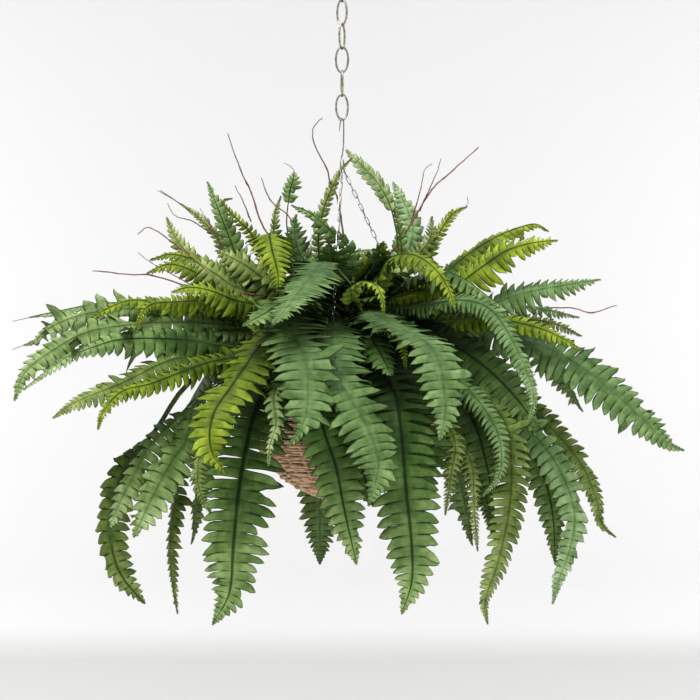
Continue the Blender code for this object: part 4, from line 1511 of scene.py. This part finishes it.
@dataclass
class TwigBunch:
    """The curly twigs, each with its bark and side twigs."""

    setting: Setting
    finishes: Finishes
    base_radius: float = 0.0019
    tip_radius: float = 0.0007
    side_size: float = 0.6  # how thick a side twig is against the main one
    kink: float = 0.00028
    knots: int = 7
    knot_length: float = 0.012  # half a knot's length, as a share of the stem's
    knot_swell: float = 0.35
    rod: Rod = field(default_factory=lambda: Rod(7, 72))

    def build(self) -> None:
        """Makes every twig."""
        for plan in TWIGS:
            main, *sides = map(metres, plan.routes)
            stems = [self._stem(plan.name, 0, self.setting.stem(plan.azimuth, plan.lift, main), 1.0)]
            for number, side in enumerate(sides, 1):
                stems.append(self._stem(plan.name, number, self.setting.placed(side), self.side_size))
            hand_over(dress(join(stems, f"{plan.name}_bark"), self.finishes.twig), "twig", plan.name)

    def _stem(self, name: str, number: int, points: list[Vector], size: float) -> Piece:
        """Bends one rod into a twig with knots and small kinks.

        Args:
            name: the twig's name.
            number: which of its stems this is; the main one is 0.
            points: what it passes.
            size: its thickness against the main stem's.

        Returns:
            The bent rod.
        """
        rng = draws(f"{name} {number}")
        line = rounded(points)
        wander = np.cumsum(rng.normal(0, self.kink, line.shape), axis=0)
        wander -= np.linspace(0, 1, len(line))[:, None] * wander[-1]
        share = self.rod.share
        swell = sum(np.exp(-(((share - knot) / self.knot_length) ** 2)) for knot in rng.random(self.knots))
        radius = self.base_radius + (self.tip_radius - self.base_radius) * share
        radius *= size * (1 + self.knot_swell * swell)
        return self.rod.bend(f"{name}_{number}", Path(line + wander), radius)


# ---- Chain, hooks and thin chains ----


@dataclass
class Hardware:
    """The ceiling fitting, the chain of oval links, the wire hook and the three thin chains."""

    finishes: Finishes
    links: int = 6
    chains: int = 3
    fitting_wire: float = 0.002  # the radius of the ceiling hook's wire
    link_wire: float = 0.0015
    hanger_wire: float = 0.001
    thin_link: float = 0.0140
    thin_width: float = 0.0056
    thin_wire: float = 0.00062
    thin_pitch: float = 0.0107
    thin_turn: float = 0.5  # how far the first link of a thin chain is turned about it
    thin_spread: float = 0.2  # how much the others differ from a quarter turn each
    thin_ring: Ring = field(default_factory=lambda: Ring(14, 5))

    def build(self) -> None:
        """Finishes every metal piece."""
        nickel, steel = (self.finishes.nickel, "nickel"), (self.finishes.steel, "steel_wire")
        self.refine("ceiling_hook", 8, self.fitting_wire, *nickel)
        for number in range(self.links):
            self.refine(f"chain_link_{number + 1}", 6, self.link_wire, *nickel)
        self.refine("hanger_hook", 6, self.hanger_wire, *steel)
        dress(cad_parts["ceiling_plate"], self.finishes.nickel)
        for number in range(self.chains):
            self.make_thin_chain(f"thin_chain_{number + 1}")

    def refine(self, node: str, sides: int, radius: float, material: Material, slot: str) -> None:
        """Rounds off a wire piece of the frame in a copy that stands for it.

        Args:
            node: the CAD node.
            sides: the number of faces around its wire, which rounding off shrinks.
            radius: the wire's radius.
            material: its finish.
            slot: the record's slot of that finish.
        """
        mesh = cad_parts[node].data
        piece = put_out(mesh, coordinates(mesh), f"{node}_wire")
        thinner = (4 + 2 * math.cos(math.tau / sides)) / 6
        with shaping(piece):
            bpy.ops.mesh.select_all(action="SELECT")
            bpy.ops.mesh.remove_doubles(threshold=1e-5)
            flat = math.radians(60)
            bpy.ops.mesh.tris_convert_to_quads(face_threshold=flat, shape_threshold=flat)
            bpy.ops.transform.shrink_fatten(value=radius * (1 / thinner - 1))
        modify(piece, "SUBSURF", levels=2, render_levels=2)
        smooth(piece, 80)
        hand_over(dress(piece, material), slot, node)

    def make_thin_chain(self, node: str) -> None:
        """Makes one thin chain of small oval links in place of its straight rod.

        Args:
            node: the CAD node of the chain.
        """
        points = coordinates(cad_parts[node].data)
        high = points[:, 2] > points[:, 2].mean()
        top = points[high].mean(axis=0)
        along = unit((points[~high].mean(axis=0) - top)[None])[0]
        reach = (points - top) @ along
        first, last = top + along * reach.min(), top + along * reach.max()
        length = float(np.linalg.norm(last - first))
        count = round(length / self.thin_pitch)
        side = unit(np.cross(along, UP)[None])[0]
        other = np.cross(along, side)
        half_width = self.thin_width / 2 - self.thin_wire
        straight = self.thin_link / 2 - self.thin_wire - half_width
        rng = draws(node)
        links = []
        for number in range(count):
            centre = first + along * length * (number + 0.5) / count
            angle = math.pi / 2 * (number % 2) + self.thin_turn + rng.normal(0, self.thin_spread)
            flat = side * math.cos(angle) + other * math.sin(angle)

            def loop(turn: Array, centre: Array = centre, flat: Array = flat) -> Array:
                """Returns the link's middle line: two straight sides with round ends."""
                lengthwise = np.cos(turn) * half_width + np.sign(np.cos(turn)) * straight
                return centre + along * lengthwise[:, None] + flat * (np.sin(turn) * half_width)[:, None]

            up = np.cross(along, flat)
            links.append(self.thin_ring.bend(f"{node}_{number}", loop, self.thin_wire, up))
        hand_over(dress(join(links, f"{node}_links"), self.finishes.steel), "steel_wire", node)


# ---- Basket ----


def round_loop(turn: Array, radius: Array | float, height: Array | float) -> Array:
    """Returns points round the basket at each angle."""
    return np.stack([radius * np.cos(turn), radius * np.sin(turn), height], axis=1)


@dataclass
class TwigBasket:
    """The woven basket: rows of split twigs in and out of stakes, a wrapped border, and the filling."""

    setting: Setting
    finishes: Finishes
    row_pitch: float = 0.0043
    row_radius: float = 0.0021
    row_sag: float = 0.0009
    row_ripple: float = 0.0004
    row_spread: float = 0.14  # how much the rows differ in thickness
    row_swell: tuple[float, float] = (0.16, 0.1)  # how much one row swells, in long waves and in short ones
    stakes: int = 26
    stake_radius: float = 0.0021
    stake_step: int = 12  # the line down the wall has this many more points than a stake's
    stake_spread: float = 0.01  # how far a stake's angle is from its even place
    weave: float = 0.0018
    weave_limit: float = 0.08  # the most that a row swings in and out, as a share of its radius
    wall: float = 0.007
    bottom_gap: float = 0.09  # the angle that the rows leave open at the bottom
    section_points: int = 400
    border_strands: int = 3
    border_wraps: int = 17
    border_wire: float = 0.50  # a strand's radius, as a share of the rim's
    border_swing: float = 0.46
    moss_margin: float = 0.004
    moss_edge: float = 0.35  # how high the edge of the moss is, against its whole height
    moss_dome: float = 0.55  # how much higher its middle is
    tufts: int = 9
    tuft_waves: float = 14
    tuft_rise: float = 0.22
    tuft_spread: float = 0.02
    row_ring: Ring = field(default_factory=lambda: Ring(156, 5))
    border_ring: Ring = field(default_factory=lambda: Ring(180, 6))
    stake_rod: Rod = field(default_factory=lambda: Rod(5, 28))

    def build(self) -> None:
        """Makes the woven wall, the border and the moss, and dresses the rest of the filling."""
        self.make_wall()
        self.make_border()
        self.make_moss()
        dress(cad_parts["basket_liner"], self.finishes.liner)
        dress(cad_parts["foam_block"], self.finishes.foam)

    def _section(self, count: int) -> Array:
        """Finds points down the middle of the wall, evenly spaced.

        Args:
            count: how many there are.

        Returns:
            The radius and z of each.
        """
        rim = self.setting.rim_height
        depth = rim - self.setting.basket_bottom - self.wall / 2
        radius = self.setting.rim_radius - self.wall / 2
        top, bottom = math.asin(self.setting.rim_wire / depth), math.pi / 2 - self.bottom_gap
        angles = np.linspace(top, bottom, self.section_points)
        return evenly(np.stack([radius * np.cos(angles), rim - depth * np.sin(angles)], axis=1), count)

    def make_wall(self) -> None:
        """Weaves the wall: each row goes in front of every other stake, and the next row behind it."""
        full = self._section(self.section_points)
        rows = round(stations(full)[-1] / self.row_pitch)
        rng = draws("basket rows")
        made = [self._row(number, *place, rng) for number, place in enumerate(self._section(rows))]
        for number in range(self.stakes):
            angle = math.tau * (number + 0.5) / self.stakes + rng.normal(0, self.stake_spread)
            line = round_loop(np.full(len(full), angle), *full.T)[:: self.stake_step]
            made.append(self.stake_rod.bend(f"stake_{number}", Path(line), self.stake_radius))
        hand_over(dress(join(made, "basket_weave"), self.finishes.wicker), "wicker", "basket_wall")

    def _row(self, number: int, radius: float, height: float, rng: np.random.Generator) -> Piece:
        """Bends one row of split twig.

        Args:
            number: which row it is, from the top.
            radius: the wall's radius there.
            height: its height there.
            rng: draws the row's unevenness.

        Returns:
            The row.
        """
        phase = math.pi * (number % 2)
        drift, lean = rng.random(2) * math.tau
        thick = self.row_radius * (1 + rng.normal(0, self.row_spread))
        swing = min(self.weave, radius * self.weave_limit)

        def loop(turn: Array) -> Array:
            """Follows the row's middle line in and out of the stakes.

            Args:
                turn: angles round the basket.

            Returns:
                The points at those angles.
            """
            out = radius + swing * np.sin(turn * self.stakes / 2 + phase)
            rise = height + self.row_sag * np.sin(2 * turn + drift)
            return round_loop(turn, out, rise + self.row_ripple * np.sin(7 * turn + lean))

        turn = self.row_ring.turn
        long, short = self.row_swell
        width = thick * (1 + long * np.sin(5 * turn + lean) + short * np.sin(13 * turn + drift))
        return self.row_ring.bend(f"row_{number}", loop, width)

    def make_border(self) -> None:
        """Twists the border's strands round the rim."""
        rim = self.setting
        made = []
        for number in range(self.border_strands):
            phase = math.tau * number / self.border_strands

            def loop(turn: Array, phase: float = phase) -> Array:
                """Follows the strand's middle line round the rim's wire.

                Args:
                    turn: angles round the basket.
                    phase: where on the wire the strand begins.

                Returns:
                    The points at those angles.
                """
                wrap, swing = self.border_wraps * turn + phase, rim.rim_wire * self.border_swing
                out, rise = swing * np.cos(wrap), swing * np.sin(wrap)
                return round_loop(turn, rim.rim_radius + out, rim.rim_height + rise)

            made.append(self.border_ring.bend(f"border_{number}", loop, rim.rim_wire * self.border_wire))
        hand_over(dress(join(made, "basket_border"), self.finishes.wicker), "wicker", "basket_rim")

    def make_moss(self) -> None:
        """Makes the layer of moss: a dome whose surface is raised into tufts."""
        low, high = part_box("moss_layer")
        sphere = bpy.ops.mesh.primitive_uv_sphere_add
        dome = begin("moss_tufts", sphere, segments=96, ring_count=48, radius=1)
        points = coordinates(dome.data)
        rng = draws("moss")
        waves = (
            np.sin(points @ rng.normal(0, self.tuft_waves, 3) + rng.random() * 6) for _ in range(self.tufts)
        )
        tuft = sum(waves) / self.tufts
        level = points[:, 2]
        height = high.z - low.z
        crest = self.moss_edge + self.moss_dome * np.clip(level, 0, 1) + self.tuft_rise * tuft
        points[:, :2] *= ((high.x - low.x) / 2 - self.moss_margin) * (1 + self.tuft_spread * tuft)[:, None]
        skirt = self.moss_edge * height * (1 + level)
        points[:, 2] = low.z + np.where(level > 0, height * crest, skirt)
        write(dome.data.vertices, "co", points)
        smooth(dome, 80)
        hand_over(dress(dome, self.finishes.moss), "moss", "moss_layer")


# ---- Studio ----


@dataclass
class Studio:
    """The pale floor, the soft lights and the camera."""

    distance: float = 2.6
    aside: float = 0.0114
    eye_height: float = -0.582
    view_angle: float = 21.7
    floor: float = -1.75
    wall: float = 4.54
    front: float = -6
    breadth: float = 24
    wall_height: float = 9
    sweep: float = 0.27  # how far from the corner the floor begins to turn up
    surround: float = 0.20
    # painted shade: the paper is darker on the floor than on the wall
    shaded_floor_colour: Colour = (0.72, 0.72, 0.71)
    wall_colour: Colour = (0.83, 0.83, 0.83)

    def build(self) -> None:
        """Sets up the whole studio."""
        self.make_backdrop()
        self.make_lights()
        self.make_camera()

    def make_backdrop(self) -> None:
        """Makes the floor, which sweeps up into a wall behind the basket."""
        sheet = begin("backdrop", bpy.ops.mesh.primitive_plane_add, size=1)
        with shaping(sheet, "EDGE") as shape:
            for vertex in shape.verts:
                far = self.wall if vertex.co.y > 0 else self.front
                vertex.co = (vertex.co.x * self.breadth, far, self.floor)
            for edge in shape.edges:
                edge.select = all(vertex.co.y > 0 for vertex in edge.verts)
            bpy.ops.mesh.extrude_region_move(TRANSFORM_OT_translate={"value": (0, 0, self.wall_height)})
            bpy.ops.mesh.select_all(action="DESELECT")
            for edge in bmesh.from_edit_mesh(sheet.data).edges:
                ends = [vertex.co for vertex in edge.verts]
                edge.select = all(end.y > 0 and end.z < self.floor + 0.1 for end in ends)
            bpy.ops.mesh.bevel(offset=self.sweep, segments=16)
        smooth(sheet)
        recipe = Recipe("backdrop_paper", roughness=0.9, specular=0.1)
        height = recipe.add("SeparateXYZ", {0: recipe.place()})["Z"]
        # painted shade: the floor part of the paper is darker, the wall part lighter
        upright = recipe.ramp(height, self.floor, self.floor + 0.1)
        colour = recipe.blend(upright, self.shaded_floor_colour, self.wall_colour)
        recipe.give(recipe.shader, {"Base Color": colour})
        dress(sheet, recipe.material)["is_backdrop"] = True

    def make_lights(self) -> None:
        """Adds a broad key light, a fill, lights for the backdrop and a soft surround."""
        for name, place, aim, size, watts in (
            ("key", (-0.9, -1.6, 2.1), (0, 0, -0.55), 1.5, 86),
            ("fill", (0.5, -2.3, -1.15), (0, 0, -0.8), 1.2, 22),
            ("overhead", (0.3, -0.2, 1.6), (0, 0, -0.5), 1.4, 26),
            ("backdrop_light", (0, 2.6, 3.6), (0, self.wall, -0.4), 5.0, 68),
            ("backdrop_side", (-3.3, 2.4, -0.2), (-0.3, self.wall, -1.0), 2.4, 56),
            ("backdrop_side", (3.3, 2.4, -0.2), (0.3, self.wall, -1.0), 2.4, 56),
        ):
            data = bpy.data.lights.new(name, "AREA")
            data.size = size
            data.energy = watts
            light = bpy.data.objects.new(name, data)
            light.location = place
            light.rotation_euler = (Vector(aim) - Vector(place)).to_track_quat("-Z", "Y").to_euler()
            bpy.context.scene.collection.objects.link(light)
        world = bpy.data.worlds.new("surround")
        world.use_nodes = True
        sky = world.node_tree.nodes["Background"].inputs
        sky["Color"].default_value = (1, 1, 1, 1)
        sky["Strength"].default_value = self.surround
        bpy.context.scene.world = world

    def make_camera(self) -> None:
        """Adds the camera, level with the middle of the plant."""
        data = bpy.data.cameras.new("camera")
        data.angle = math.radians(self.view_angle)
        camera = bpy.data.objects.new("camera", data)
        camera.location = (self.aside, -self.distance, self.eye_height)
        camera.rotation_euler = (math.pi / 2, 0, 0)
        bpy.context.scene.collection.objects.link(camera)
        bpy.context.scene.camera = camera
        bpy.context.scene.view_settings.view_transform = "Standard"


def write_sizes() -> None:
    """Works out the CAD model's box and the visual model's, and keeps neither."""
    boxes = {"cad": CAD_BOX, "visual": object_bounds()}
    {name: [list(corner) for corner in box] for name, box in boxes.items()}


def main() -> None:
    """Builds the studio and the whole basket."""
    logging.basicConfig(level=logging.INFO)
    setting = Setting()
    finishes = Finishes()
    Studio().build()
    Hardware(finishes).build()
    TwigBasket(setting, finishes).build()
    FernBush(setting, finishes).build()
    TwigBunch(setting, finishes).build()
    write_sizes()


if __name__ == "__main__":
    main()
